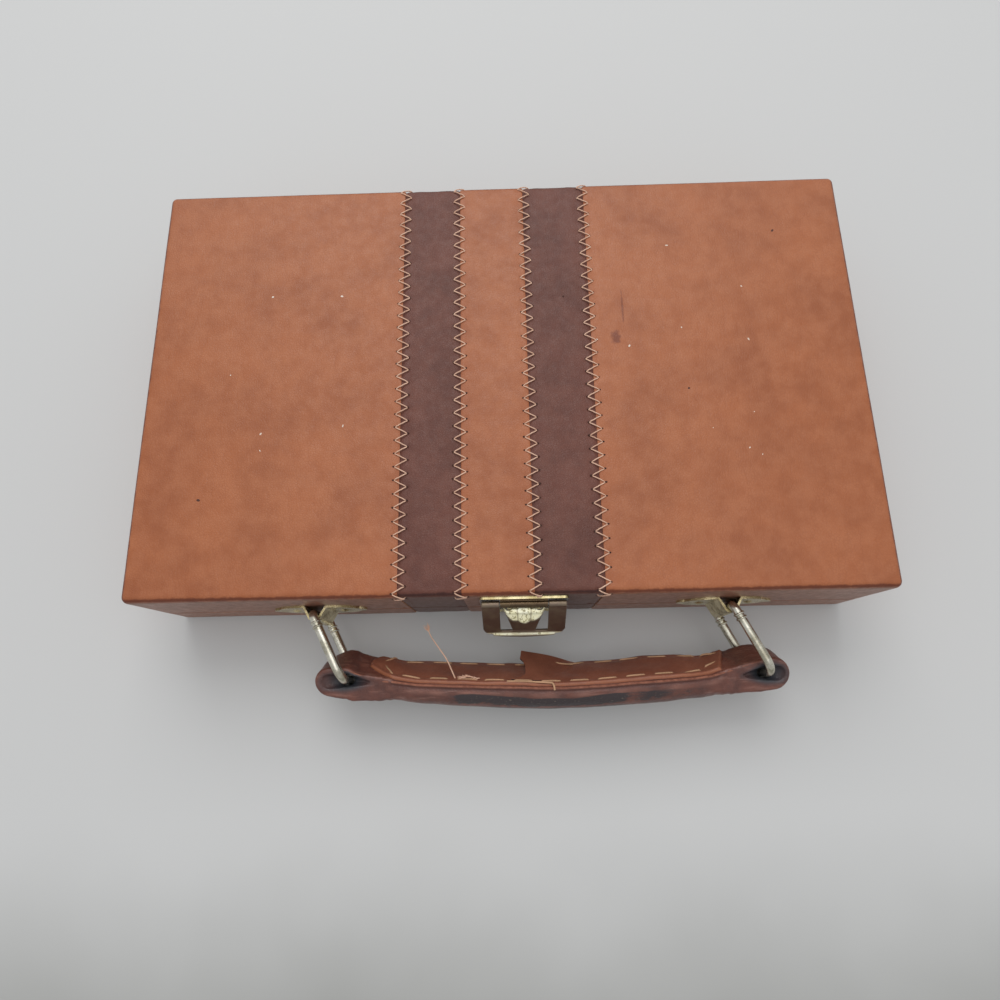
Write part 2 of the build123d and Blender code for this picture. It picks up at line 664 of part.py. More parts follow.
def tongue_lobes(foot_y):
    """Tapered flutes spread like a fan, which stand further out towards their foot."""
    length = -TONGUE_TOP - foot_y
    spread = TONGUE_TOP_WIDTH / 2 - LOBE_TOP_RADIUS
    foot_spread = TONGUE_FOOT_WIDTH / 2 - LOBE_FOOT_RADIUS
    front = -HASP_OFFSET - HASP_SHEET / 2
    middle_y = front + (LOBE_SUNK - LOBE_PROUD) / 2
    slope = -math.degrees(math.atan2(LOBE_SUNK + LOBE_PROUD, length))
    lobes = None
    for i in range(LOBE_COUNT):
        share = 2 * i / (LOBE_COUNT - 1) - 1
        lean = math.degrees(math.atan2(share * (spread - foot_spread), length))
        middle_x = share * (spread + foot_spread) / 2
        middle_z = (-TONGUE_TOP + foot_y) / 2
        cone = Cone(LOBE_FOOT_RADIUS, LOBE_TOP_RADIUS, length)
        lobe = Pos(middle_x, middle_y, middle_z) * Rot(slope, lean, 0) * cone
        lobes = lobe if lobes is None else lobes + lobe
    reach = LOBE_PROUD + 2 * LOBE_TOP_RADIUS
    half = TONGUE_TOP_WIDTH / 2
    return lobes & block(-half, half, front - reach, front, foot_y, -TONGUE_TOP)


def catch_plate():
    """The plate on the base, with the strip and hook that the hasp shuts over."""
    back = FRONT_Y
    front = FRONT_Y - CATCH_SHEET
    half = CATCH_WIDTH / 2
    top = BASE_HEIGHT - SEAM_GAP
    plate = block(LATCH_X - half, LATCH_X + half, front, back, CATCH_PLATE_LOW, top)
    plate = fillet(plate.edges().filter_by(Axis.Y), 1.5)
    strip_half = CATCH_STRIP_WIDTH / 2
    x0 = LATCH_X - strip_half
    x1 = LATCH_X + strip_half
    strip_back = FRONT_Y - PLATE - CATCH_GAP
    strip_front = strip_back - CATCH_SHEET
    hook_low = LATCH_PIN_Z - TONGUE_TOP + CATCH_HOOK_GAP
    hook_top = hook_low + CATCH_HOOK_THICKNESS
    foot = block(x0, x1, strip_front, front, CATCH_STRIP_LOW, top)
    strip = block(x0, x1, strip_front, strip_back, CATCH_STRIP_LOW, hook_top)
    hook = block(x0, x1, strip_front - CATCH_HOOK_REACH, strip_back, hook_low, hook_top)
    nose = hook.edges().filter_by(Axis.X).group_by(Axis.Y)[0]
    hook = fillet(nose, CATCH_HOOK_THICKNESS * 0.4)
    holes = rivet_holes(CATCH_RIVET_PLACES, FRONT_Y, -1, SHANK_DEPTH)
    return drilled(plate + foot + strip + hook, holes)


def latch(parts):
    """Plate, pin and hasp on the lid, and the catch on the base."""
    parts["latch_plate"] = latch_plate()
    half = HASP_WIDTH / 2
    parts["latch_pin"] = cylinder_x(
        LATCH_PIN_RADIUS, LATCH_X - half, LATCH_X + half, LATCH_PIN_Y, LATCH_PIN_Z
    )
    parts["latch_hasp"] = hasp()
    parts["catch_plate"] = catch_plate()
    face = FRONT_Y - PLATE
    parts["latch_rivets"] = rivets(LATCH_RIVET_PLACES, face, -1, SHANK_DEPTH)
    catch_face = FRONT_Y - CATCH_SHEET
    catch_depth = SHANK_DEPTH - PLATE + CATCH_SHEET
    parts["catch_rivets"] = rivets(CATCH_RIVET_PLACES, catch_face, -1, catch_depth)


def handle_fittings(parts):
    """Two bent plates with their rivets, and the ring in each."""
    for side, x in zip(("left", "right"), PIVOTS_X):
        parts[f"handle_plate_{side}"] = handle_plate(x)
        parts[f"ring_{side}"] = ring(x)
    face = FRONT_Y - PLATE
    parts["handle_plate_rivets"] = rivets(PLATE_RIVET_PLACES, face, -1, SHANK_DEPTH)


def main():
    """Make every piece and write one file for each."""
    parts = {}
    base_box(parts)
    lid_box(parts)
    linings(parts)
    tray(parts)
    hinges(parts)
    handle_fittings(parts)
    handle(parts)
    latch(parts)
    os.makedirs("parts", exist_ok=True)
    for name, shape in parts.items():
        export_step(shape, f"parts/{name}.step")


main()
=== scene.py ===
import json
import logging
import math
import random
from collections.abc import Callable, Iterable, Sequence
from dataclasses import dataclass, field
from enum import Enum

import bpy
from mathutils import Matrix, Vector, noise
from mathutils.bvhtree import BVHTree


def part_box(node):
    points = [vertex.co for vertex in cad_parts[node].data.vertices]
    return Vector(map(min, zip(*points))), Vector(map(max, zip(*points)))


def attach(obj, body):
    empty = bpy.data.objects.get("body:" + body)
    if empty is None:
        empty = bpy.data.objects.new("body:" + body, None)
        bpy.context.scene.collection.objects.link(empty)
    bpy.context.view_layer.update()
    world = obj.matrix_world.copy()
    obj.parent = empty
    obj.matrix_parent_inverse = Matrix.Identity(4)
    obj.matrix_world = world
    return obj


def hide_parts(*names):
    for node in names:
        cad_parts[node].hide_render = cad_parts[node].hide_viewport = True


# The dressed domino set case. Sizes are in millimetres in the frame of the packed
# model, and every mesh is turned into metres when it becomes a piece.

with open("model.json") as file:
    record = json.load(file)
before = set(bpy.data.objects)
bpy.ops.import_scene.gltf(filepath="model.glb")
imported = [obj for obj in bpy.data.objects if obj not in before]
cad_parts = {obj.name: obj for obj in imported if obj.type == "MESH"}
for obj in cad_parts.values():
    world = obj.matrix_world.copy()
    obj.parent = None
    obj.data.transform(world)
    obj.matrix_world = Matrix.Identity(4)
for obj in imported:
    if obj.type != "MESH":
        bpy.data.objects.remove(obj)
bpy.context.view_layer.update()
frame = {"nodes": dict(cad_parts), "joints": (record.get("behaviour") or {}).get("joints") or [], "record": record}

METRES_PER_MM = 0.001
MM_PER_METRE = 1000.0

log = logging.getLogger("domino_case")

Colour = tuple[float, float, float, float]
Point = tuple[float, float, float]


class Body(str, Enum):
    """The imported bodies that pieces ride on."""

    BASE = "base"
    LID = "lid"
    HANDLE = "handle"
    HASP = "hasp"


class Slot(str, Enum):
    """The record's material slots."""

    TAN = "tan_leather"
    BROWN = "brown_leather"
    HANDLE = "handle_leather"
    FELT = "felt"
    PLYWOOD = "plywood"
    BOARD = "wood_board"
    CORE = "core_board"
    BRASS = "brass_plate"
    WIRE = "ring_wire"
    PIN = "steel_pin"


class Half(Enum):
    """The two halves of the case."""

    LID = "lid"
    BASE = "base"


def display(red: float, green: float, blue: float) -> Colour:
    """Turn a display colour into the linear one that shaders take.

    Args:
        red, green, blue: levels from 0 to 255, as a screen shows them.

    Returns:
        The linear colour with a full alpha.
    """
    levels = (red / 255, green / 255, blue / 255)
    linear = [v / 12.92 if v <= 0.04045 else ((v + 0.055) / 1.055) ** 2.4 for v in levels]
    return (linear[0], linear[1], linear[2], 1.0)


def node_box(name: str) -> tuple[Vector, Vector]:
    """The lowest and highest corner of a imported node, in millimetres."""
    low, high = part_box(name)
    return Vector(low) * MM_PER_METRE, Vector(high) * MM_PER_METRE


def joint_anchor(name: str) -> Vector:
    """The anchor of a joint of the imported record, in millimetres."""
    found = next(j for j in frame["joints"] if j["name"] == name)
    return Vector(found["pos_m"]) * MM_PER_METRE


def smooth_step(value: float, low: float, high: float) -> float:
    """A soft ramp from 0 at low to 1 at high."""
    share = min(1.0, max(0.0, (value - low) / (high - low)))
    return share * share * (3 - 2 * share)


def bell(distance: float, reach: float) -> float:
    """A soft bump that is 1 at no distance and fades over the reach."""
    return math.exp(-((distance / reach) ** 2))


# --------------------------------------------------------------------- node trees


class Graph:
    """Short ways to add and join nodes in one node tree."""

    def __init__(self, tree: bpy.types.NodeTree) -> None:
        """Keep the tree that the nodes go into."""
        self.tree = tree

    def node(self, kind: str, **settings: object) -> bpy.types.Node:
        """Add a node and set its plain properties."""
        made = self.tree.nodes.new(kind)
        for key, value in settings.items():
            setattr(made, key, value)
        return made

    def feed(self, socket: bpy.types.NodeSocket, value: object) -> None:
        """Join a socket to another, or set its value."""
        if isinstance(value, bpy.types.NodeSocket):
            self.tree.links.new(value, socket)
        elif value is not None:
            socket.default_value = value

    def out(
        self, kind: str, inputs: dict[str | int, object], output: str | int = 0, **settings: object
    ) -> bpy.types.NodeSocket:
        """Add a node, feed its inputs and give one of its outputs.

        Args:
            kind: the node's type name.
            inputs: values or sockets by input name or place.
            output: the wanted output's name or place.
            **settings: plain properties, set before the inputs.

        Returns:
            The output socket.
        """
        made = self.node(kind, **settings)
        for key, value in inputs.items():
            self.feed(made.inputs[key], value)
        return made.outputs[output]

    def math(
        self, operation: str, a: object, b: object = None, c: object = None, clamp: bool = False
    ):
        """One step of arithmetic."""
        return self.out(
            "ShaderNodeMath", {0: a, 1: b, 2: c}, operation=operation, use_clamp=clamp
        )

    def vector(self, operation: str, a: object, b: object = None):
        """One step of vector arithmetic."""
        return self.out("ShaderNodeVectorMath", {0: a, 1: b}, operation=operation)

    def mix(self, factor: object, a: object, b: object, blend: str = "MIX"):
        """Mix two colours."""
        return self.out(
            "ShaderNodeMix", {0: factor, 6: a, 7: b}, 2, data_type="RGBA", blend_type=blend
        )

    def ramp(
        self, value: object, low: float, high: float, to_low: float = 0.0, to_high: float = 1.0
    ):
        """A soft ramp between two levels.

        Args:
            value: the number that is read.
            low, high: where the ramp starts and ends; it falls where low is the larger.
            to_low, to_high: what the ramp gives at its start and at its end.

        Returns:
            The output socket.
        """
        limits = {"From Min": low, "From Max": high, "To Min": to_low, "To Max": to_high}
        return self.out(
            "ShaderNodeMapRange", {"Value": value, **limits}, interpolation_type="SMOOTHSTEP"
        )

    def noise(self, vector: object, scale: float, detail: float = 3.0, rough: float = 0.55):
        """Fractal noise from 0 to 1."""
        inputs = {"Vector": vector, "Scale": scale, "Detail": detail, "Roughness": rough}
        return self.out("ShaderNodeTexNoise", inputs, "Fac")

    def cells(self, vector: object, scale: float, feature: str):
        """The distance output of a cell pattern."""
        inputs = {"Vector": vector, "Scale": scale}
        return self.out("ShaderNodeTexVoronoi", inputs, "Distance", feature=feature)

    def stretched(self, vector: object, factors: Point):
        """A vector with each axis scaled."""
        return self.vector("MULTIPLY", vector, factors)

    def scaled(self, vector: object, factor: object):
        """A vector times a number."""
        made = self.vector("SCALE", vector)
        self.feed(made.node.inputs["Scale"], factor)
        return made

    def sized(self, given: bpy.types.Node, size: str):
        """A group's vector in units of its size input."""
        return self.scaled(given.outputs["Vector"], self.math("DIVIDE", 1.0, given.outputs[size]))

    def split(self, vector: object):
        """The three parts of a vector."""
        return self.out("ShaderNodeSeparateXYZ", {0: vector}).node.outputs

    def random(self, low: object, high: object, seed: object):
        """A random number for each point, or a vector where the limits are vectors."""
        kind, output = ("FLOAT_VECTOR", 0) if isinstance(low, tuple) else ("FLOAT", 1)
        inputs = {"Min": low, "Max": high, "Seed": seed}
        return self.out("FunctionNodeRandomValue", inputs, output, data_type=kind)

    def attribute(self, name: str):
        """A number stored on the mesh."""
        return self.out(
            "ShaderNodeAttribute", {}, "Fac", attribute_name=name, attribute_type="GEOMETRY"
        )

    def group(self, tree: bpy.types.NodeTree, **inputs: object) -> bpy.types.Node:
        """Place a shared group with its own values, by input name with _ for a space."""
        made = self.node("ShaderNodeGroup", node_tree=tree)
        for key, value in inputs.items():
            self.feed(made.inputs[key.replace("_", " ")], value)
        return made


SOCKETS = {"float": "NodeSocketFloat", "vector": "NodeSocketVector", "colour": "NodeSocketColor"}


def shader_group(
    name: str, inputs: dict[str, str], outputs: dict[str, str]
) -> tuple[Graph, bpy.types.Node, bpy.types.Node]:
    """Start a shader node group.

    Args:
        name: the group's name.
        inputs: the kind of each input by name.
        outputs: the kind of each output by name.

    Returns:
        The graph, its input node and its output node.
    """
    tree = bpy.data.node_groups.new(name, "ShaderNodeTree")
    for label, kind in inputs.items():
        tree.interface.new_socket(label, in_out="INPUT", socket_type=SOCKETS[kind])
    for label, kind in outputs.items():
        tree.interface.new_socket(label, in_out="OUTPUT", socket_type=SOCKETS[kind])
    graph = Graph(tree)
    return graph, graph.node("NodeGroupInput"), graph.node("NodeGroupOutput")


def grain_group() -> bpy.types.NodeTree:
    """Leather grain: pebbles parted by creases, with fine pores."""
    inputs = {"Vector": "vector", "Cell": "float", "Crease": "float"}
    graph, given, result = shader_group("leather grain", inputs, {"Height": "float"})
    scaled = graph.sized(given, "Cell")
    drift = graph.out(
        "ShaderNodeTexNoise", {"Vector": scaled, "Scale": 0.45, "Detail": 2.0}, "Color"
    )
    bent = graph.vector("ADD", scaled, drift)
    pebbles = graph.ramp(graph.cells(bent, 1.0, "DISTANCE_TO_EDGE"), 0.0, 0.24)
    pores = graph.noise(scaled, 2.6, 2.0, 0.6)
    creases = graph.noise(graph.stretched(scaled, (0.16, 0.05, 0.16)), 1.0, 4.0, 0.6)
    folds = graph.ramp(graph.math("ABSOLUTE", graph.math("SUBTRACT", creases, 0.5)), 0.0, 0.05)
    body = graph.math("MULTIPLY_ADD", pebbles, 0.6, graph.math("MULTIPLY", pores, 0.4))
    deep = graph.math("MULTIPLY", graph.math("SUBTRACT", 1.0, folds), given.outputs["Crease"])
    graph.feed(result.inputs["Height"], graph.math("SUBTRACT", body, deep))
    return graph.tree


def mottle_group() -> bpy.types.NodeTree:
    """Cloudy variation at a coarse and a fine scale."""
    inputs = {"Vector": "vector", "Size": "float"}
    outputs = {"Cloud": "float", "Fine": "float"}
    graph, given, result = shader_group("mottle", inputs, outputs)
    scaled = graph.sized(given, "Size")
    graph.feed(result.inputs["Cloud"], graph.ramp(graph.noise(scaled, 1.0, 5.0, 0.6), 0.32, 0.68))
    graph.feed(result.inputs["Fine"], graph.ramp(graph.noise(scaled, 9.0, 3.0, 0.6), 0.3, 0.7))
    return graph.tree


def wear_group() -> bpy.types.NodeTree:
    """Wear that starts at an edge and breaks up inwards."""
    inputs = {"Vector": "vector", "Edge": "float", "Amount": "float"}
    graph, given, result = shader_group("edge wear", inputs, {"Mask": "float"})
    patches = graph.noise(given.outputs["Vector"], 0.35, 4.0, 0.65)
    inset = graph.math("SUBTRACT", given.outputs["Edge"], 0.75)
    reach = graph.math("MULTIPLY_ADD", patches, 0.9, inset)
    mask = graph.ramp(reach, 0.1, 0.5)
    graph.feed(result.inputs["Mask"], graph.math("MULTIPLY", mask, given.outputs["Amount"]))
    return graph.tree


def scratch_group() -> bpy.types.NodeTree:
    """Fine scratches in two directions, as on handled metal."""
    inputs = {"Vector": "vector", "Size": "float"}
    graph, given, result = shader_group("fine scratches", inputs, {"Mask": "float"})
    scaled = graph.sized(given, "Size")
    along = graph.noise(graph.stretched(scaled, (0.25, 3.0, 3.0)), 2.0, 2.0, 0.7)
    across = graph.noise(graph.stretched(scaled, (3.0, 0.3, 2.0)), 2.0, 2.0, 0.7)
    both = graph.math("MAXIMUM", graph.ramp(along, 0.62, 0.7), graph.ramp(across, 0.65, 0.73))
    graph.feed(result.inputs["Mask"], both)
    return graph.tree


@dataclass(frozen=True)
class Effects:
    """The shared shader groups."""

    grain: bpy.types.NodeTree
    mottle: bpy.types.NodeTree
    wear: bpy.types.NodeTree
    scratches: bpy.types.NodeTree

    @classmethod
    def build(cls) -> "Effects":
        """Make every shared group once."""
        return cls(grain_group(), mottle_group(), wear_group(), scratch_group())


def start_material(name: str) -> tuple[bpy.types.Material, Graph, bpy.types.Node, object]:
    """Start a material on a Principled shader.

    Args:
        name: the material's name.

    Returns:
        The material, its graph, its shader and the object's place in millimetres.
    """
    material = bpy.data.materials.new(name)
    material.use_nodes = True
    graph = Graph(material.node_tree)
    shader = next(n for n in material.node_tree.nodes if n.type == "BSDF_PRINCIPLED")
    place = graph.out("ShaderNodeTexCoord", {}, "Object")
    return material, graph, shader, graph.scaled(place, MM_PER_METRE)


def bump(graph: Graph, height: object, depth_mm: float, strength: float = 1.0):
    """A normal from a height pattern, with its full depth in millimetres."""
    inputs = {"Height": height, "Distance": depth_mm * METRES_PER_MM, "Strength": strength}
    return graph.out("ShaderNodeBump", inputs, "Normal")


def coat(
    graph: Graph, shader: bpy.types.Node, colour: object, roughness: object, normal: object = None
) -> None:
    """Feed a Principled shader.

    Args:
        graph: the material's graph.
        shader: its shader.
        colour, roughness: values or sockets.
        normal: a bumped normal, where the surface has one.
    """
    for label, value in (("Base Color", colour), ("Roughness", roughness), ("Normal", normal)):
        graph.feed(shader.inputs[label], value)


# ---------------------------------------------------------------------- finishes


@dataclass(frozen=True)
class Smudge:
    """A soft stain on the leather, at a place in plan."""

    place: tuple[float, float]
    size: tuple[float, float]
    colour: Colour
    strength: float


@dataclass(frozen=True)
class Leather:
    """Finished leather with grain, clouds, worn edges and pale cut edges, with a painted sheen towards the back
    and a painted reflection of the table on the front wall.
    """

    name: str
    base: Colour
    dark: Colour
    light: Colour
    worn: Colour
    roughness: float = 0.42
    cell: float = 0.9
    relief: float = 0.05
    crease: float = 0.3
    wear: float = 0.8
    # Painted sheen: the colour and strength of a paler tone laid towards the back of the top.
    back_sheen: Colour = display(196, 160, 138)
    sheen_depth: float = 0.0
    sheen_start: float = -20.0
    sheen_end: float = 95.0
    # Painted reflection: the greyish tone laid on the front wall, and how strongly.
    front_reflection: Colour = display(112, 98, 92)
    front_wall: float = -77.6
    reflection_depth: float = 0.6
    smudges: tuple[Smudge, ...] = ()
    cloud_size: float = 26.0
    blotch_size: float = 6.0
    blotches: float = 0.35
    pits: float = 0.35
    specular: float = 0.34

    def stained(self, graph: Graph, place: object, colour: object) -> object:
        """Lay the smudges over a colour."""
        x, y, _ = graph.split(place)
        ragged = graph.noise(place, 0.6, 3.0)
        for smudge in self.smudges:
            across, along = (
                graph.math("DIVIDE", graph.math("SUBTRACT", part, centre), size)
                for part, centre, size in zip((x, y), smudge.place, smudge.size)
            )
            square = graph.math("MULTIPLY", along, along)
            square = graph.math("MULTIPLY_ADD", across, across, square)
            edge = graph.math("MULTIPLY_ADD", ragged, 1.6, square)
            mask = graph.ramp(edge, 1.7, 0.9, 0.0, smudge.strength)
            colour = graph.mix(mask, colour, smudge.colour, "MULTIPLY")
        return colour

    def material(self, effects: Effects) -> bpy.types.Material:
        """Build the material from the shared effects."""
        material, graph, shader, place = start_material(self.name)
        mottle = graph.group(effects.mottle, Vector=place, Size=self.cloud_size)
        blotch = graph.group(effects.mottle, Vector=place, Size=self.blotch_size)
        grain = graph.group(effects.grain, Vector=place, Cell=self.cell, Crease=self.crease)
        wear = graph.group(
            effects.wear, Vector=place, Edge=graph.attribute("edge"), Amount=self.wear
        )
        height = grain.outputs["Height"]
        tone = graph.mix(mottle.outputs["Cloud"], self.base, self.dark)
        paler = graph.math("MULTIPLY", blotch.outputs["Cloud"], self.blotches)
        tone = graph.mix(paler, tone, self.light)
        pits = graph.math("MULTIPLY", graph.ramp(height, 0.45, 0.1), self.pits)
        tone = graph.mix(pits, tone, self.dark)
        # Painted sheen: the top turns paler towards the back, as if the window light glanced off it.
        if self.sheen_depth:
            _, y, _ = graph.split(place)
            drifting = graph.math("MULTIPLY_ADD", blotch.outputs["Cloud"], 14.0, y)
            back = graph.ramp(drifting, self.sheen_start, self.sheen_end)
            tone = graph.mix(graph.math("MULTIPLY", back, self.sheen_depth), tone, self.back_sheen)
            # Painted reflection: the front wall is greyed in patches, as if it mirrored the pale table.
            reflected = graph.ramp(y, self.front_wall, self.front_wall - 0.6, 0.0, self.reflection_depth)
            patchy = graph.ramp(mottle.outputs["Fine"], 0.0, 1.0, 0.6, 1.0)
            reflected = graph.math("MULTIPLY", reflected, patchy)
            tone = graph.mix(reflected, tone, self.front_reflection)
        tone = self.stained(graph, place, tone)
        tone = graph.mix(wear.outputs["Mask"], tone, self.worn)
        gloss = graph.math("MULTIPLY_ADD", mottle.outputs["Fine"], 0.14, self.roughness - 0.07)
        coat(graph, shader, tone, gloss, bump(graph, height, self.relief))
        shader.inputs["Specular IOR Level"].default_value = self.specular
        return material


@dataclass(frozen=True)
class CutEdge:
    """The raw edge of cut leather: fibrous and pale."""

    name: str
    base: Colour
    fibre: Colour

    def material(self, effects: Effects) -> bpy.types.Material:
        """Build the material from the shared effects."""
        material, graph, shader, place = start_material(self.name)
        mottle = graph.group(effects.mottle, Vector=place, Size=1.4)
        fine = mottle.outputs["Fine"]
        tone = graph.mix(mottle.outputs["Cloud"], self.base, self.fibre)
        coat(graph, shader, tone, graph.ramp(fine, 0.0, 1.0, 0.75, 0.95), bump(graph, fine, 0.08))
        return material


@dataclass(frozen=True)
class Plate:
    """Plated metal: clouded, scratched, darkened where it is not rubbed, and with painted shade and patina from a
    stored mask or below a height.
    """

    name: str
    bright: Colour
    dull: Colour
    grime: Colour
    roughness: float = 0.24
    grime_amount: float = 0.5
    metallic: float = 1.0
    # The colour of painted shade, and of patina where the mask marks hollows.
    shade_and_patina: Colour = display(92, 76, 60)
    shade_below: float = -1.0
    lit_metallic: float = 1.0
    pits: float = 0.0
    cloud_size: float = 5.0
    dirt_size: float = 2.2
    scratch_size: float = 2.4

    def material(self, effects: Effects) -> bpy.types.Material:
        """Build the material from the shared effects."""
        material, graph, shader, place = start_material(self.name)
        mottle = graph.group(effects.mottle, Vector=place, Size=self.cloud_size)
        dirt = graph.group(effects.mottle, Vector=place, Size=self.dirt_size)
        scratch = graph.group(effects.scratches, Vector=place, Size=self.scratch_size)
        tone = graph.mix(mottle.outputs["Cloud"], self.bright, self.dull)
        # Painted shade and patina: a stored mask, or everything below a height, darkens the metal.
        shade_and_patina_mask = graph.attribute("shade_and_patina")
        if self.shade_below > 0:
            _, _, z = graph.split(place)
            shade_and_patina_mask = graph.ramp(z, self.shade_below, self.shade_below - 0.5)
        tone = graph.mix(shade_and_patina_mask, tone, self.shade_and_patina)
        mask = graph.math("MULTIPLY", dirt.outputs["Cloud"], mottle.outputs["Cloud"])
        mask = graph.math("MULTIPLY", mask, self.grime_amount)
        tone = graph.mix(mask, tone, self.grime)
        if self.pits > 0:
            spots = graph.noise(place, 0.95, 2.0, 0.6)
            unshaded = graph.math("SUBTRACT", 1.0, shade_and_patina_mask, clamp=True)
            pitted = graph.math("MULTIPLY", graph.ramp(spots, 0.54, 0.6, 0.0, self.pits), unshaded)
            tone = graph.mix(pitted, tone, self.grime)
        rough = graph.math("MULTIPLY_ADD", mask, 0.35, self.roughness)
        rough = graph.math("MULTIPLY_ADD", scratch.outputs["Mask"], 0.12, rough)
        relief = graph.math("SUBTRACT", dirt.outputs["Fine"], scratch.outputs["Mask"])
        coat(graph, shader, tone, rough, bump(graph, relief, 0.02, 0.6))
        # Where the mask is clear the metal can be less metallic, so a bright colour there shows as a painted
        # highlight.
        change = self.metallic - self.lit_metallic
        plated = graph.math("MULTIPLY_ADD", shade_and_patina_mask, change, self.lit_metallic)
        clean = graph.math("MULTIPLY_ADD", mask, -0.5, plated, clamp=True)
        graph.feed(shader.inputs["Metallic"], clean)
        return material


@dataclass(frozen=True)
class Thread:
    """Waxed sewing thread, laid up from twisted strands, soiled in clouds and with painted shade between the
    strands.
    """

    name: str
    base: Colour
    # The colour of the soiling, and of the painted shade between the strands.
    soil_and_shade: Colour

    def material(self, effects: Effects) -> bpy.types.Material:
        """Build the material from the shared effects."""
        material, graph, shader, place = start_material(self.name)
        turned = graph.out("ShaderNodeMapping", {"Vector": place, "Rotation": (0.0, 0.0, 0.9)})
        twist = {"Vector": turned, "Scale": 1.1, "Distortion": 1.0, "Detail": 1.0}
        strands = graph.out("ShaderNodeTexWave", twist, "Fac")
        mottle = graph.group(effects.mottle, Vector=place, Size=7.0)
        soiled = graph.math("MULTIPLY", mottle.outputs["Cloud"], 0.55)
        tone = graph.mix(soiled, self.base, self.soil_and_shade)
        # Painted shade in the twist between the strands.
        tone = graph.mix(graph.ramp(strands, 0.35, 0.0, 0.0, 0.4), tone, self.soil_and_shade)
        rough = graph.ramp(strands, 0.0, 1.0, 0.8, 0.6)
        coat(graph, shader, tone, rough, bump(graph, strands, 0.06))
        return material


@dataclass(frozen=True)
class Felt:
    """Short pile felt, or a napped lining cloth."""

    name: str
    base: Colour
    nap: Colour
    sheen: float = 0.35
    sheen_roughness: float = 0.5

    def material(self, effects: Effects) -> bpy.types.Material:
        """Build the material from the shared effects."""
        material, graph, shader, place = start_material(self.name)
        mottle = graph.group(effects.mottle, Vector=place, Size=11.0)
        fibres = graph.noise(graph.stretched(place, (1.4, 3.0, 2.2)), 1.0, 5.0, 0.7)
        tone = graph.mix(graph.math("MULTIPLY", mottle.outputs["Cloud"], 0.6), self.base, self.nap)
        tone = graph.mix(graph.ramp(fibres, 0.5, 0.75, 0.0, 0.5), tone, self.nap)
        rough = graph.ramp(fibres, 0.3, 0.7, 0.85, 1.0)
        coat(graph, shader, tone, rough, bump(graph, fibres, 0.25, 0.8))
        shader.inputs["Sheen Weight"].default_value = self.sheen
        shader.inputs["Sheen Roughness"].default_value = self.sheen_roughness
        return material


@dataclass(frozen=True)
class Timber:
    """Plain wood with its grain along one axis."""

    name: str
    early: Colour
    late: Colour
    stretch: Point = (0.03, 0.5, 0.5)
    ring_count: float = 9.0

    def material(self, effects: Effects) -> bpy.types.Material:
        """Build the material from the shared effects."""
        material, graph, shader, place = start_material(self.name)
        mottle = graph.group(effects.mottle, Vector=place, Size=30.0)
        rings = graph.noise(graph.stretched(place, self.stretch), 1.0, 4.0, 0.6)
        bands = graph.math("PINGPONG", graph.math("MULTIPLY", rings, self.ring_count), 1.0)
        lines = graph.ramp(bands, 0.2, 0.9)
        tone = graph.mix(lines, self.early, self.late)
        tone = graph.mix(graph.math("MULTIPLY", mottle.outputs["Cloud"], 0.3), tone, self.late)
        rough = graph.ramp(lines, 0.0, 1.0, 0.55, 0.72)
        coat(graph, shader, tone, rough, bump(graph, lines, 0.05))
        return material


@dataclass(frozen=True)
class Shade:
    """A dull, slightly clouded finish for holes, fibres and specks."""

    name: str
    base: Colour
    other: Colour
    roughness: float = 0.9

    def material(self, effects: Effects) -> bpy.types.Material:
        """Build the material from the shared effects."""
        material, graph, shader, place = start_material(self.name)
        mottle = graph.group(effects.mottle, Vector=place, Size=2.0)
        tone = graph.mix(mottle.outputs["Cloud"], self.base, self.other)
        rough = graph.ramp(mottle.outputs["Fine"], 0.0, 1.0, self.roughness - 0.1, self.roughness)
        coat(graph, shader, tone, rough)
        return material


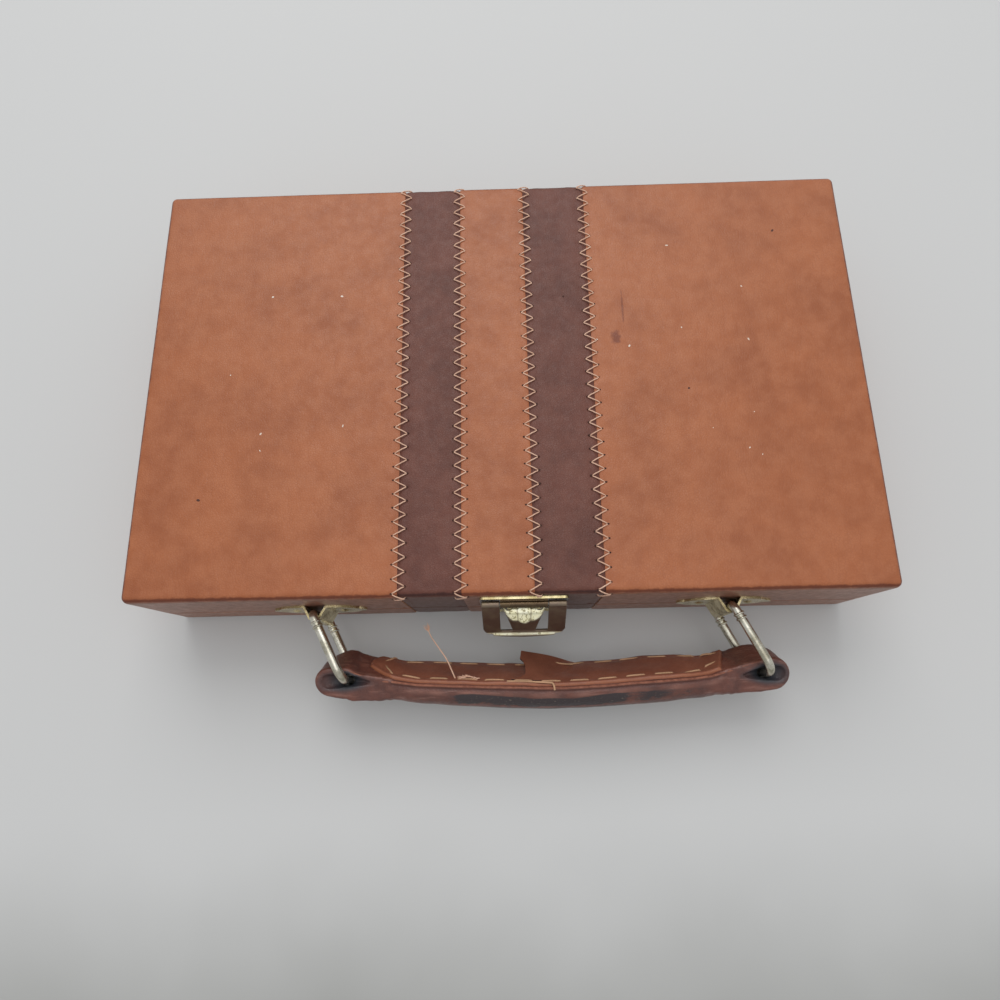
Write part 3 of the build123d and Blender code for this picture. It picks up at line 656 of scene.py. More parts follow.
@dataclass(frozen=True)
class GripLeather:
    """The handle's waxy leather, rubbed dark along its crown, with painted shade inside its loops and in the
    groove under its rolled edge, and a painted highlight along that edge.
    """

    name: str
    base: Colour
    dark: Colour
    light: Colour
    rubbed: Colour
    # The colour of the painted shade in the loops' hollows.
    hollow: Colour
    # The colour of the painted shade in the groove under the rolled edge.
    groove_shade: Colour
    flake: Colour

    def material(self, effects: Effects) -> bpy.types.Material:
        """Build the material from the shared effects."""
        material, graph, shader, place = start_material(self.name)
        mottle = graph.group(effects.mottle, Vector=place, Size=9.0)
        grain = graph.group(effects.grain, Vector=place, Cell=1.0, Crease=0.5)
        streaks = graph.noise(graph.stretched(place, (0.09, 0.6, 0.6)), 1.0, 5.0, 0.65)
        tone = graph.mix(mottle.outputs["Cloud"], self.base, self.dark)
        tone = graph.mix(graph.ramp(streaks, 0.5, 0.7, 0.0, 0.5), tone, self.light)
        patchy = graph.ramp(streaks, 0.2, 0.6, 0.6, 1.0)
        # Painted highlight along the rolled edge, from the ridge mark.
        ridge = graph.math("MULTIPLY", graph.attribute("ridge"), patchy)
        tone = graph.mix(ridge, tone, self.light)
        inset = graph.math("SUBTRACT", graph.attribute("rubbed"), 0.88)
        rubbed = graph.ramp(graph.math("MULTIPLY_ADD", streaks, 1.3, inset), 0.05, 0.45)
        tone = graph.mix(rubbed, tone, self.rubbed)
        crumbs = graph.noise(graph.stretched(place, (0.8, 1.6, 1.6)), 1.0, 4.0, 0.75)
        chipped = graph.math("MULTIPLY", graph.ramp(crumbs, 0.62, 0.7), rubbed)
        tone = graph.mix(chipped, tone, self.flake)
        # Painted shade in the groove under the rolled edge.
        tone = graph.mix(graph.attribute("groove"), tone, self.groove_shade)
        # Painted shade in the loops' hollows.
        tone = graph.mix(graph.attribute("hollow"), tone, self.hollow)
        gloss = graph.math("MULTIPLY_ADD", mottle.outputs["Fine"], 0.15, 0.3)
        gloss = graph.math("MULTIPLY_ADD", chipped, 0.3, gloss)
        relief = graph.math("MULTIPLY_ADD", chipped, -1.2, grain.outputs["Height"])
        coat(graph, shader, tone, gloss, bump(graph, relief, 0.07))
        return material


class Finishes:
    """Every finish of the case, built once."""

    def __init__(self) -> None:
        """Build the shared effects and the materials."""
        effects = Effects.build()
        stain = Smudge((40.4, 13.0), (2.6, 3.4), display(120, 60, 110), 0.55)
        streak = Smudge((43.5, 25.0), (0.5, 9.0), display(140, 80, 90), 0.45)
        tan = dict(
            base=display(170, 100, 62),
            dark=display(152, 86, 52),
            light=display(186, 120, 84),
            worn=display(98, 44, 28),
            # a light painted sheen towards the back
            sheen_depth=0.04,
        )
        self.tan = Leather("tan leather", **tan).material(effects)
        marked = Leather("tan leather marked", smudges=(stain, streak), **tan)
        self.tan_marked = marked.material(effects)
        self.brown = Leather(
            "brown leather",
            base=display(108, 62, 50),
            dark=display(90, 50, 40),
            light=display(126, 80, 66),
            worn=display(60, 30, 26),
            cell=0.8,
            relief=0.07,
            roughness=0.46,
            # the brown stripes' painted sheen towards the back
            back_sheen=display(140, 116, 112),
            sheen_depth=0.04,
        ).material(effects)
        self.grip = GripLeather(
            "grip leather",
            base=display(114, 68, 56),
            dark=display(84, 52, 46),
            light=display(156, 112, 98),
            rubbed=display(58, 48, 49),
            # painted shade inside the loops
            hollow=display(58, 60, 66),
            # painted shade in the groove under the rolled edge
            groove_shade=display(78, 36, 26),
            flake=display(150, 136, 118),
        ).material(effects)
        self.cut_edge, self.piping, self.torn = (
            CutEdge(name, display(*base), display(*fibre)).material(effects)
            for name, base, fibre in (
                ("cut edge", (206, 160, 126), (170, 118, 86)),
                # The rolled bead's pale tone is a painted highlight along the handle's edge.
                ("rolled edge highlight", (166, 108, 86), (136, 84, 66)),
                # The torn edge's dark tone is painted shade on the flap's cut edges.
                ("shaded torn edge", (70, 44, 38), (52, 34, 32)),
            )
        )
        self.facing = Leather(
            "facing leather",
            base=display(140, 86, 66),
            dark=display(118, 70, 54),
            light=display(156, 98, 76),
            # Lighter than the base: the edge mark lays wear and a painted highlight of the lit cut edge.
            worn=display(158, 98, 68),
            roughness=0.36,
            cell=1.1,
            relief=0.04,
            crease=0.15,
        ).material(effects)
        self.brass = Plate(
            "plated brass",
            bright=display(232, 218, 174),
            dull=display(186, 170, 124),
            grime=display(110, 92, 62),
            roughness=0.2,
            grime_amount=0.55,
        ).material(effects)
        self.latch_brass = Plate(
            "latch brass",
            bright=display(240, 226, 180),
            dull=display(206, 188, 136),
            grime=display(116, 98, 66),
            roughness=0.22,
            grime_amount=0.4,
            # Painted shade: the plate is darkened below the top of its flange, where the barrel lies in shadow.
            shade_below=43.2,
        ).material(effects)
        self.hasp_brass = Plate(
            "hasp brass",
            # Painted highlight: a near white, barely metallic tone on the fan and the lip; the dark tone is
            # painted shade on the arms and under the fan, and patina in its flutes.
            bright=display(255, 252, 226),
            dull=display(250, 242, 196),
            grime=display(150, 138, 96),
            roughness=0.3,
            grime_amount=0.3,
            metallic=0.8,
            shade_and_patina=display(128, 111, 98),
            lit_metallic=0.3,
            pits=0.85,
        ).material(effects)
        self.wire = Plate(
            "nickel plated wire",
            bright=display(230, 226, 212),
            dull=display(184, 178, 158),
            grime=display(112, 106, 84),
            roughness=0.18,
            grime_amount=0.3,
        ).material(effects)
        self.steel = Plate(
            "steel pin",
            bright=display(196, 196, 192),
            dull=display(164, 162, 158),
            grime=display(84, 76, 66),
            roughness=0.34,
            grime_amount=0.35,
        ).material(effects)
        self.thread, self.tan_thread, self.felt, self.plywood, self.board = (
            kind(name, display(*base), display(*other)).material(effects)
            for kind, name, base, other in (
                (Thread, "peach thread", (240, 200, 174), (204, 156, 128)),
                (Thread, "tan thread", (214, 168, 132), (150, 120, 88)),
                (Felt, "wine felt", (92, 22, 30), (132, 44, 50)),
                (Timber, "birch plywood", (204, 172, 126), (176, 138, 92)),
                (Timber, "poplar board", (200, 166, 118), (168, 128, 84)),
            )
        )
        self.core, self.hole, self.speck, self.nick = (
            Shade(name, display(*base), display(*other), roughness).material(effects)
            for name, base, other, roughness in (
                ("fibre board", (142, 120, 94), (118, 98, 76), 0.9),
                # The needle holes' dark tone is painted shade in the holes.
                ("needle hole", (48, 22, 16), (66, 34, 24), 0.9),
                ("pale specks", (236, 224, 212), (214, 190, 172), 0.8),
                ("dark nicks", (70, 40, 34), (92, 54, 44), 0.85),
            )
        )


# ------------------------------------------------------------------------ meshes


def store_numbers(mesh: bpy.types.Mesh, label: str, values: Sequence[float]) -> None:
    """Store a number on each point of a mesh."""
    layer = mesh.attributes.new(label, "FLOAT", "POINT")
    layer.data.foreach_set("value", values)


class Draft:
    """A mesh in the making, in millimetres, with its numbers per point."""

    def __init__(self) -> None:
        """Start empty."""
        self.points: list[Vector] = []
        self.faces: list[tuple[int, ...]] = []
        self.kinds: list[int] = []
        self.marks: dict[str, dict[int, float]] = {}

    def add(self, point: Sequence[float]) -> int:
        """Add a point and give its number."""
        self.points.append(Vector(point))
        return len(self.points) - 1

    def face(self, *corners: int, kind: int = 0) -> None:
        """Add a face with its material's place."""
        self.faces.append(corners)
        self.kinds.append(kind)

    def mark(self, name: str, point: int, value: float) -> None:
        """Store a number on a point."""
        self.marks.setdefault(name, {})[point] = value

    def sweep(self, rings: Sequence[Sequence[Sequence[float]]], kind: int = 0) -> None:
        """Join closed rings of points into a skin with closed ends.

        Args:
            rings: rings of equally many points, each counter-clockwise seen from the far end.
            kind: the material's place.
        """
        placed = [[self.add(p) for p in ring] for ring in rings]
        count = len(placed[0])
        for near, far in zip(placed, placed[1:]):
            for i in range(count):
                j = (i + 1) % count
                self.face(near[i], near[j], far[j], far[i], kind=kind)
        self.face(*reversed(placed[0]), kind=kind)
        self.face(*placed[-1], kind=kind)

    def tube(
        self, path: Sequence[Vector], radii: Sequence[float], sides: int = 8, kind: int = 0
    ) -> None:
        """A round tube along a path.

        Args:
            path: the centre line.
            radii: the radius at each point of the path.
            sides: how many sides the tube has.
            kind: the material's place.
        """
        rings = []
        normal = Vector((0.0, 0.0, 1.0))
        for i, point in enumerate(path):
            ahead = path[min(i + 1, len(path) - 1)] - path[max(i - 1, 0)]
            tangent = ahead.normalized()
            if abs(normal.dot(tangent)) > 0.9:
                normal = tangent.orthogonal()
            normal = (normal - tangent * normal.dot(tangent)).normalized()
            side = tangent.cross(normal)
            ring = []
            for k in range(sides):
                turn = 2 * math.pi * k / sides
                ring.append(point + (normal * math.cos(turn) + side * math.sin(turn)) * radii[i])
            rings.append(ring)
        self.sweep(rings, kind=kind)

    def slab(
        self,
        face: Sequence[Sequence[Vector]],
        back: Sequence[Sequence[Vector]],
        edges: Sequence[Sequence[float]] = (),
        rim: int = 0,
    ) -> None:
        """Join two grids of points into a closed sheet.

        Args:
            face: the grid that faces outwards, by column and row.
            back: the grid behind it.
            edges: how worn each point of the face is, where it is worn; on the facing this also lays a painted
                highlight on its edges.
            rim: the material's place on the sheet's edges.
        """
        tops = [[self.add(p) for p in row] for row in face]
        unders = [[self.add(p) for p in row] for row in back]
        for row, values in zip(tops, edges):
            for number, value in zip(row, values):
                self.mark("edge", number, value)
        columns, rows = len(tops) - 1, len(tops[0]) - 1
        for i in range(columns):
            for j in range(rows):
                self.face(tops[i][j], tops[i][j + 1], tops[i + 1][j + 1], tops[i + 1][j])
                self.face(unders[i][j], unders[i + 1][j], unders[i + 1][j + 1], unders[i][j + 1])
            j = i + 1
            self.face(tops[i][0], tops[j][0], unders[j][0], unders[i][0], kind=rim)
            self.face(tops[j][rows], tops[i][rows], unders[i][rows], unders[j][rows], kind=rim)
        for j in range(rows):
            self.face(tops[0][j + 1], tops[0][j], unders[0][j], unders[0][j + 1], kind=rim)
            self.face(tops[-1][j], tops[-1][j + 1], unders[-1][j + 1], unders[-1][j], kind=rim)

    def piece(
        self, name: str, body: Body, materials: Sequence[bpy.types.Material], sharp: float = 45.0
    ) -> bpy.types.Object:
        """Turn the draft into an object in metres that rides on a body.

        Args:
            name: the piece's name.
            body: the body that it rides on.
            materials: its materials, by the faces' kinds.
            sharp: edges sharper than this many degrees stay sharp.

        Returns:
            The new object.
        """
        mesh = bpy.data.meshes.new(name)
        mesh.from_pydata([p * METRES_PER_MM for p in self.points], [], self.faces)
        for material in materials:
            mesh.materials.append(material)
        mesh.polygons.foreach_set("material_index", self.kinds)
        mesh.polygons.foreach_set("use_smooth", [True] * len(self.faces))
        for label, values in self.marks.items():
            store_numbers(mesh, label, [values.get(i, 0.0) for i in range(len(self.points))])
        mesh.set_sharp_from_angle(angle=math.radians(sharp))
        mesh.update()
        piece = bpy.data.objects.new(name, mesh)
        bpy.context.scene.collection.objects.link(piece)
        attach(piece, body.value)
        return piece


def finish_as(piece: bpy.types.Object, slot: Slot, *nodes: str) -> bpy.types.Object:
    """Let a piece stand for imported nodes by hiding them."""
    if nodes:
        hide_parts(*nodes)
    return piece


def evaluated(piece: bpy.types.Object) -> bpy.types.Mesh:
    """The mesh of an object with its modifiers applied."""
    graph = bpy.context.evaluated_depsgraph_get()
    graph.update()
    return bpy.data.meshes.new_from_object(piece.evaluated_get(graph))


def apply_modifiers(piece: bpy.types.Object) -> None:
    """Turn the modifiers' result into the piece's own plain mesh."""
    mesh = evaluated(piece)
    piece.modifiers.clear()
    old = piece.data
    piece.data = mesh
    mesh.name = old.name
    bpy.data.meshes.remove(old)


def merge_skin(piece: bpy.types.Object, voxel: float, rounds: int) -> None:
    """Merge the overlapping solids of a piece into one smooth skin.

    Args:
        piece: the piece, which keeps its one material.
        voxel: the size of the skin's cells, in millimetres.
        rounds: how often the skin is smoothed.
    """
    material = piece.data.materials[0]
    remesh = piece.modifiers.new("remesh", "REMESH")
    remesh.mode = "VOXEL"
    remesh.voxel_size = voxel * METRES_PER_MM
    remesh.use_smooth_shade = True
    soften = piece.modifiers.new("soften", "SMOOTH")
    soften.factor = 0.5
    soften.iterations = rounds
    apply_modifiers(piece)
    piece.data.materials.clear()
    piece.data.materials.append(material)


def spread(
    start: float, end: float, near_start: Sequence[float], near_end: Sequence[float], pitch: float
) -> list[float]:
    """Grid lines from start to end, closer together near the ends.

    Args:
        start, end: the first and last line.
        near_start: offsets of the lines next to the start.
        near_end: offsets of the lines next to the end.
        pitch: the usual distance between the lines in the middle.

    Returns:
        The lines in rising order.
    """
    left = [start + s for s in near_start]
    right = [end - s for s in near_end][::-1]
    inner = right[0] - left[-1]
    count = max(1, round(inner / pitch))
    middle = [left[-1] + inner * i / count for i in range(1, count)]
    return left + middle + right


def rounding_lines(radius: float) -> list[float]:
    """Offsets that cut a rounded edge into even parts."""
    return [radius * (1 - math.tan(math.radians(a))) for a in (45, 37.5, 30, 22.5, 15, 7.5, 0)]


# ------------------------------------------------------------------ node repeats


def geometry_tree(
    name: str, inputs: dict[str, tuple[str, object]]
) -> tuple[Graph, bpy.types.Node, bpy.types.Node]:
    """Start a geometry node tree.

    Args:
        name: the tree's name.
        inputs: the socket type and first value of each input by name.

    Returns:
        The graph, its input node and its output node.
    """
    tree = bpy.data.node_groups.new(name, "GeometryNodeTree")
    tree.interface.new_socket("Geometry", in_out="INPUT", socket_type="NodeSocketGeometry")
    for label, (kind, value) in inputs.items():
        socket = tree.interface.new_socket(label, in_out="INPUT", socket_type=kind)
        if value is not None:
            socket.default_value = value
    tree.interface.new_socket("Geometry", in_out="OUTPUT", socket_type="NodeSocketGeometry")
    graph = Graph(tree)
    return graph, graph.node("NodeGroupInput"), graph.node("NodeGroupOutput")


def close_tree(graph: Graph, geometry: object, material: object, result: bpy.types.Node) -> None:
    """End a tree in real geometry with its material."""
    real = graph.out("GeometryNodeRealizeInstances", {"Geometry": geometry})
    smooth = graph.out("GeometryNodeSetShadeSmooth", {"Geometry": real})
    dressed = graph.out("GeometryNodeSetMaterial", {"Geometry": smooth, "Material": material})
    graph.feed(result.inputs[0], dressed)


NUMBER = "NodeSocketFloat"
WHOLE = "NodeSocketInt"
MATERIAL = "NodeSocketMaterial"
THREAD_SWAY = 0.00012
THREAD_SIDES = 6


def wave_along(graph: Graph, given: bpy.types.Node) -> tuple[object, object, object]:
    """Walk a path in small steps and work out the zigzag at each.

    Args:
        graph: the tree.
        given: its input node, with Geometry, Pitch, Width, Steps and Seed.

    Returns:
        The resampled curve, the swing from -0.5 to 0.5, and how near each point is to an apex.
    """
    half = graph.math("DIVIDE", given.outputs["Pitch"], 2.0)
    step = graph.math("DIVIDE", half, given.outputs["Steps"])
    curve = graph.out("GeometryNodeMeshToCurve", {"Mesh": given.outputs["Geometry"]})
    walked = graph.out("GeometryNodeResampleCurve", {"Curve": curve, "Length": step}, mode="LENGTH")
    along = graph.node("GeometryNodeSplineParameter").outputs["Length"]
    phase = graph.math("DIVIDE", along, half)
    swing = graph.math("SUBTRACT", graph.math("PINGPONG", phase, 1.0), 0.5)
    apex = graph.math("MULTIPLY", graph.math("ABSOLUTE", swing), 2.0)
    return walked, swing, apex


def outward(graph: Graph) -> object:
    """The outward direction of a path that runs front to back over the case."""
    tangent = graph.node("GeometryNodeInputTangent").outputs[0]
    return graph.vector("CROSS_PRODUCT", (1.0, 0.0, 0.0), tangent)


def zigzag_tree() -> bpy.types.NodeTree:
    """A zigzag thread along a path, dipping into its needle holes."""
    inputs = {
        "Pitch": (NUMBER, 0.0048),
        "Width": (NUMBER, 0.0045),
        "Thread": (NUMBER, 0.00022),
        "Lift": (NUMBER, 0.0003),
        "Dip": (NUMBER, 0.0005),
        "Steps": (WHOLE, 8),
        "Seed": (WHOLE, 3),
        "Material": (MATERIAL, None),
    }
    graph, given, result = geometry_tree("zigzag stitch", inputs)
    walked, swing, apex = wave_along(graph, given)
    jitter = graph.random(-THREAD_SWAY, THREAD_SWAY, given.outputs["Seed"])
    across = graph.math("MULTIPLY", swing, given.outputs["Width"])
    loose = graph.math("MULTIPLY", jitter, graph.math("SUBTRACT", 1.0, apex))
    across = graph.math("ADD", across, loose)
    fall = graph.math("ADD", given.outputs["Lift"], given.outputs["Dip"])
    dipped = graph.math("MULTIPLY", graph.math("POWER", apex, 7.0), fall)
    height = graph.math("SUBTRACT", given.outputs["Lift"], dipped)
    rise = graph.scaled(outward(graph), height)
    side = graph.out("ShaderNodeCombineXYZ", {"X": across})
    offset = graph.vector("ADD", side, rise)
    moved = graph.out("GeometryNodeSetPosition", {"Geometry": walked, "Offset": offset})
    profile = graph.out(
        "GeometryNodeCurvePrimitiveCircle",
        {"Resolution": THREAD_SIDES, "Radius": given.outputs["Thread"]},
    )
    thread = graph.out(
        "GeometryNodeCurveToMesh", {"Curve": moved, "Profile Curve": profile, "Fill Caps": True}
    )
    close_tree(graph, thread, given.outputs["Material"], result)
    return graph.tree


def needle_hole_tree() -> bpy.types.NodeTree:
    """Small dark flecks at the apexes of a zigzag: painted shade in the needle holes."""
    inputs = {
        "Pitch": (NUMBER, 0.0048),
        "Width": (NUMBER, 0.0045),
        "Hole": (NUMBER, 0.00042),
        "Steps": (WHOLE, 1),
        "Seed": (WHOLE, 5),
        "Material": (MATERIAL, None),
    }
    graph, given, result = geometry_tree("needle holes", inputs)
    walked, swing, _ = wave_along(graph, given)
    spread_out = graph.math("MULTIPLY_ADD", given.outputs["Hole"], 0.9, given.outputs["Width"])
    side = graph.out("ShaderNodeCombineXYZ", {"X": graph.math("MULTIPLY", swing, spread_out)})
    aim = graph.out("FunctionNodeAlignRotationToVector", {"Vector": outward(graph)}, axis="Z")
    moved = graph.out("GeometryNodeSetPosition", {"Geometry": walked, "Offset": side})
    ball = {"Radius": given.outputs["Hole"], "Subdivisions": 2}
    pit = graph.out("GeometryNodeMeshIcoSphere", ball)
    size = graph.random(0.75, 1.15, given.outputs["Seed"])
    shorter = graph.math("MULTIPLY", size, 0.7)
    flat = graph.out("ShaderNodeCombineXYZ", {"X": size, "Y": shorter, "Z": 0.16})
    pits = graph.out(
        "GeometryNodeInstanceOnPoints",
        {"Points": moved, "Instance": pit, "Rotation": aim, "Scale": flat},
    )
    close_tree(graph, pits, given.outputs["Material"], result)
    return graph.tree


def dash_tree() -> bpy.types.NodeTree:
    """Running stitches laid end to end along a path, each sunk at its ends."""
    inputs = {
        "Pitch": (NUMBER, 0.0074),
        "Length": (NUMBER, 0.0077),
        "Thread": (NUMBER, 0.00035),
        "Sink": (NUMBER, 0.0006),
        "Up": ("NodeSocketVector", (0.0, 0.94, 0.34)),
        "Seed": (WHOLE, 11),
        "Material": (MATERIAL, None),
    }
    graph, given, result = geometry_tree("running stitch", inputs)
    curve = graph.out("GeometryNodeMeshToCurve", {"Mesh": given.outputs["Geometry"]})
    pitch = {"Curve": curve, "Length": given.outputs["Pitch"]}
    walked = graph.out("GeometryNodeResampleCurve", pitch, mode="LENGTH")
    tangent = graph.node("GeometryNodeInputTangent").outputs[0]
    along = graph.out("FunctionNodeAlignRotationToVector", {"Vector": tangent}, axis="X")
    aim = graph.out(
        "FunctionNodeAlignRotationToVector",
        {"Rotation": along, "Vector": given.outputs["Up"]},
        axis="Z",
        pivot_axis="X",
    )
    ends = {"Start": (-0.5, 0.0, 0.0), "End": (0.5, 0.0, 0.0)}
    line = graph.out("GeometryNodeCurvePrimitiveLine", ends)
    fine = graph.out("GeometryNodeResampleCurve", {"Curve": line, "Count": 9}, mode="COUNT")
    share = graph.node("GeometryNodeSplineParameter").outputs["Factor"]
    off = graph.math("ABSOLUTE", graph.math("MULTIPLY_ADD", share, 2.0, -1.0))
    sunk = graph.math("POWER", off, 7.0)
    fall = graph.math("MULTIPLY", sunk, graph.math("MULTIPLY", given.outputs["Sink"], -1.0))
    bowed = graph.out(
        "GeometryNodeSetPosition",
        {"Geometry": fine, "Offset": graph.out("ShaderNodeCombineXYZ", {"Z": fall})},
    )
    tapered = graph.math("MULTIPLY_ADD", sunk, -0.35, 1.0)
    girth = graph.math("MULTIPLY", given.outputs["Thread"], tapered)
    circle = {"Resolution": THREAD_SIDES, "Radius": 1.0}
    profile = graph.out("GeometryNodeCurvePrimitiveCircle", circle)
    stitch = graph.out(
        "GeometryNodeCurveToMesh",
        {"Curve": bowed, "Profile Curve": profile, "Scale": girth, "Fill Caps": True},
    )
    size = graph.random(0.88, 1.06, given.outputs["Seed"])
    long = graph.math("MULTIPLY", given.outputs["Length"], size)
    scale = graph.out("ShaderNodeCombineXYZ", {"X": long, "Y": 1.0, "Z": 1.0})
    stitches = graph.out(
        "GeometryNodeInstanceOnPoints",
        {"Points": walked, "Instance": stitch, "Rotation": aim, "Scale": scale},
    )
    close_tree(graph, stitches, given.outputs["Material"], result)
    return graph.tree


def fleck_tree() -> bpy.types.NodeTree:
    """Flat flecks of random size at given points."""
    inputs = {
        "Fleck": (NUMBER, 0.0005),
        "Height": (NUMBER, 0.00006),
        "Seed": (WHOLE, 17),
        "Material": (MATERIAL, None),
    }
    graph, given, result = geometry_tree("flecks", inputs)
    fleck = graph.out("GeometryNodeMeshIcoSphere", {"Radius": 1.0, "Subdivisions": 2})
    size = graph.random((0.55, 0.5, 1.0), (1.5, 1.0, 1.0), given.outputs["Seed"])
    radius = given.outputs["Fleck"]
    whole = {"X": radius, "Y": radius, "Z": given.outputs["Height"]}
    full = graph.out("ShaderNodeCombineXYZ", whole)
    turn = graph.random((0.0, 0.0, 0.0), (0.0, 0.0, 6.28), given.outputs["Seed"])
    spots = graph.out(
        "GeometryNodeInstanceOnPoints",
        {
            "Points": given.outputs["Geometry"],
            "Instance": fleck,
            "Rotation": graph.out("FunctionNodeEulerToRotation", {0: turn}),
            "Scale": graph.vector("MULTIPLY", size, full),
        },
    )
    close_tree(graph, spots, given.outputs["Material"], result)
    return graph.tree


def repeat_along(
    name: str,
    tree: bpy.types.NodeTree,
    paths: Iterable[Sequence[Vector]],
    values: dict[str, object],
) -> bpy.types.Object:
    """Run a geometry node tree on guide paths and keep its plain mesh.

    Args:
        name: the piece's name.
        tree: the geometry node tree.
        paths: guide paths in millimetres; a path of one point is a loose point.
        values: the tree's inputs by name.

    Returns:
        The finished object, which rides on nothing yet.
    """
    points: list[Vector] = []
    edges: list[tuple[int, int]] = []
    for path in paths:
        first = len(points)
        points.extend(Vector(p) * METRES_PER_MM for p in path)
        edges.extend((first + i, first + i + 1) for i in range(len(path) - 1))
    guide = bpy.data.meshes.new(name)
    guide.from_pydata(points, edges, [])
    piece = bpy.data.objects.new(name, guide)
    bpy.context.scene.collection.objects.link(piece)
    modifier = piece.modifiers.new(name, "NODES")
    modifier.node_group = tree
    for item in tree.interface.items_tree:
        if item.item_type == "SOCKET" and item.in_out == "INPUT" and item.name in values:
            modifier[item.identifier] = values[item.name]
    apply_modifiers(piece)
    return piece


# ------------------------------------------------------------------ leather case


SAME_PLACE = 1e-4

@dataclass
class Seam:
    """A sewn seam between a tan band and a brown stripe."""

    x: float
    brown_side: int


@dataclass
class LeatherShell:
    """The five bands of leather glued round one half of the case."""

    half: Half
    rim_radius: float = 2.4
    turn_radius: float = 0.8
    thickness: float = 1.2
    stitch_pitch: float = 4.8
    tan_reach: float = 1.9
    brown_reach: float = 2.6
    stitch_tail: float = 2.2
    groove_depth: float = 0.28
    brown_step: float = 0.22
    dimple_depth: float = 0.22
    dimple_reach: float = 0.75
    ripple: float = 0.10
    line_pitch: float = 3.0
    seam_lines: tuple[float, ...] = (0.0, 0.2, 0.5, 0.9, 1.4, 1.9, 2.3, 2.7, 3.3, 4.2, 5.4)
    seam_reach: float = 6.0
    turn_lines: tuple[float, ...] = (0.0, 0.15, 0.35, 0.6, 1.0)
    wall_pitch: float = 1.6
    bend_steps: int = 6
    bands: tuple[tuple[str, Slot], ...] = (
        ("leather_left", Slot.TAN),
        ("stripe_left", Slot.BROWN),
        ("leather_centre", Slot.TAN),
        ("stripe_right", Slot.BROWN),
        ("leather_right", Slot.TAN),
    )
    low: Vector = field(init=False)
    high: Vector = field(init=False)
    seams: list[Seam] = field(init=False)

    def __post_init__(self) -> None:
        """Read the half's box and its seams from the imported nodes."""
        boxes = [node_box(f"{self.half.value}_{name}") for name, _ in self.bands]
        self.low = boxes[0][0].copy()
        self.high = boxes[-1][1].copy()
        self.seams = [
            Seam(box[1].x, 1 if i % 2 == 0 else -1) for i, box in enumerate(boxes[:-1])
        ]

    @property
    def depth(self) -> float:
        """How far the walls reach from the closed face."""
        return self.high.z - self.low.z

    def level(self, inset: float) -> float:
        """The height of a point that lies an inset away from the closed face."""
        return self.high.z - inset if self.half is Half.LID else self.low.z + inset

    def path_place(self, y: float, inset: float) -> float:
        """How far along the stitch path a point of the front-to-back profile lies."""
        r = self.rim_radius
        front = y + self.half_depth
        back = self.half_depth - y
        quarter = math.pi * r / 2
        end = self.stitch_tail + 2 * quarter + 2 * (self.half_depth - r)
        if inset > r and front < SAME_PLACE:
            return self.stitch_tail - (inset - r)
        if inset > r and back < SAME_PLACE:
            return end + inset - r
        if front < r:
            return self.stitch_tail + r * math.atan2(r - inset, r - front)
        if back < r:
            return end - r * math.atan2(r - inset, r - back)
        return self.stitch_tail + quarter + front - r

    @property
    def half_depth(self) -> float:
        """Half of the case's size from front to back."""
        return (self.high.y - self.low.y) / 2

    def relief(self, x: float, along: float, tan_band: bool) -> float:
        """How far the leather's face sinks next to the seams.

        Args:
            x: the place across the case.
            along: the place along the stitch path.
            tan_band: whether the band is one of the tan ones.

        Returns:
            The depth in millimetres.
        """
        depth = 0.0 if tan_band else self.brown_step
        for seam in self.seams:
            away = abs(x - seam.x)
            if away > self.seam_reach:
                continue
            if tan_band:
                depth += self.groove_depth * 0.5 * bell(away, 0.3)
            else:
                depth += self.groove_depth * bell(away, 0.8)
                depth -= self.brown_step * 0.5 * smooth_step(away, 2.5, 5.5)
            if self.half is Half.LID:
                reach = self.tan_reach if tan_band else self.brown_reach
                first = 0.0 if seam.brown_side * (1 if tan_band else -1) > 0 else 0.5
                turns = along / self.stitch_pitch - first
                nearest = (turns - round(turns)) * self.stitch_pitch
                apart = math.hypot(nearest, away - reach)
                depth += self.dimple_depth * bell(apart, self.dimple_reach)
        return depth

    def waviness(self, point: Vector) -> float:
        """The slow unevenness of leather over glue and board."""
        slow = noise.noise(point * 0.03 + Vector((3.1, 7.7, 1.3)))
        quick = noise.noise(point * 0.11)
        return self.ripple * (0.8 * slow + 0.25 * quick)

    def band(self, index: int, materials: Sequence[bpy.types.Material]) -> bpy.types.Object:
        """Build one band as a closed shell.

        Args:
            index: the band's place, counted from the left.
            materials: its face and cut edge materials.

        Returns:
            The new piece.
        """
        name, slot = self.bands[index]
        edges = [self.low.x] + [s.x for s in self.seams] + [self.high.x]
        start, end = edges[index], edges[index + 1]
        first, last = index == 0, index == len(self.bands) - 1
        corner = rounding_lines(self.rim_radius)
        near_start = corner if first else self.seam_lines
        near_end = corner if last else self.seam_lines
        xs = spread(start, end, near_start, near_end, self.line_pitch)
        fine = self.stitch_pitch / 6 if self.half is Half.LID else self.line_pitch
        ys = spread(self.low.y, self.high.y, corner, corner, fine)
        turn = [self.turn_radius * v for v in self.turn_lines]
        insets = spread(0.0, self.depth, corner, turn, self.wall_pitch)
        draft = Draft()
        outer, inner = (
            self.grid(draft, xs, ys, insets, first, last, slot is Slot.TAN, sunk)
            for sunk in (0.0, self.thickness)
        )
        self.close_rims(draft, outer, inner)
        if self.half is Half.BASE:
            draft.faces = [tuple(reversed(f)) for f in draft.faces]
        label = f"{self.half.value}_{name}"
        body = Body.LID if self.half is Half.LID else Body.BASE
        piece = draft.piece(f"{label}_skin", body, materials, 50.0)
        return finish_as(piece, slot, label)

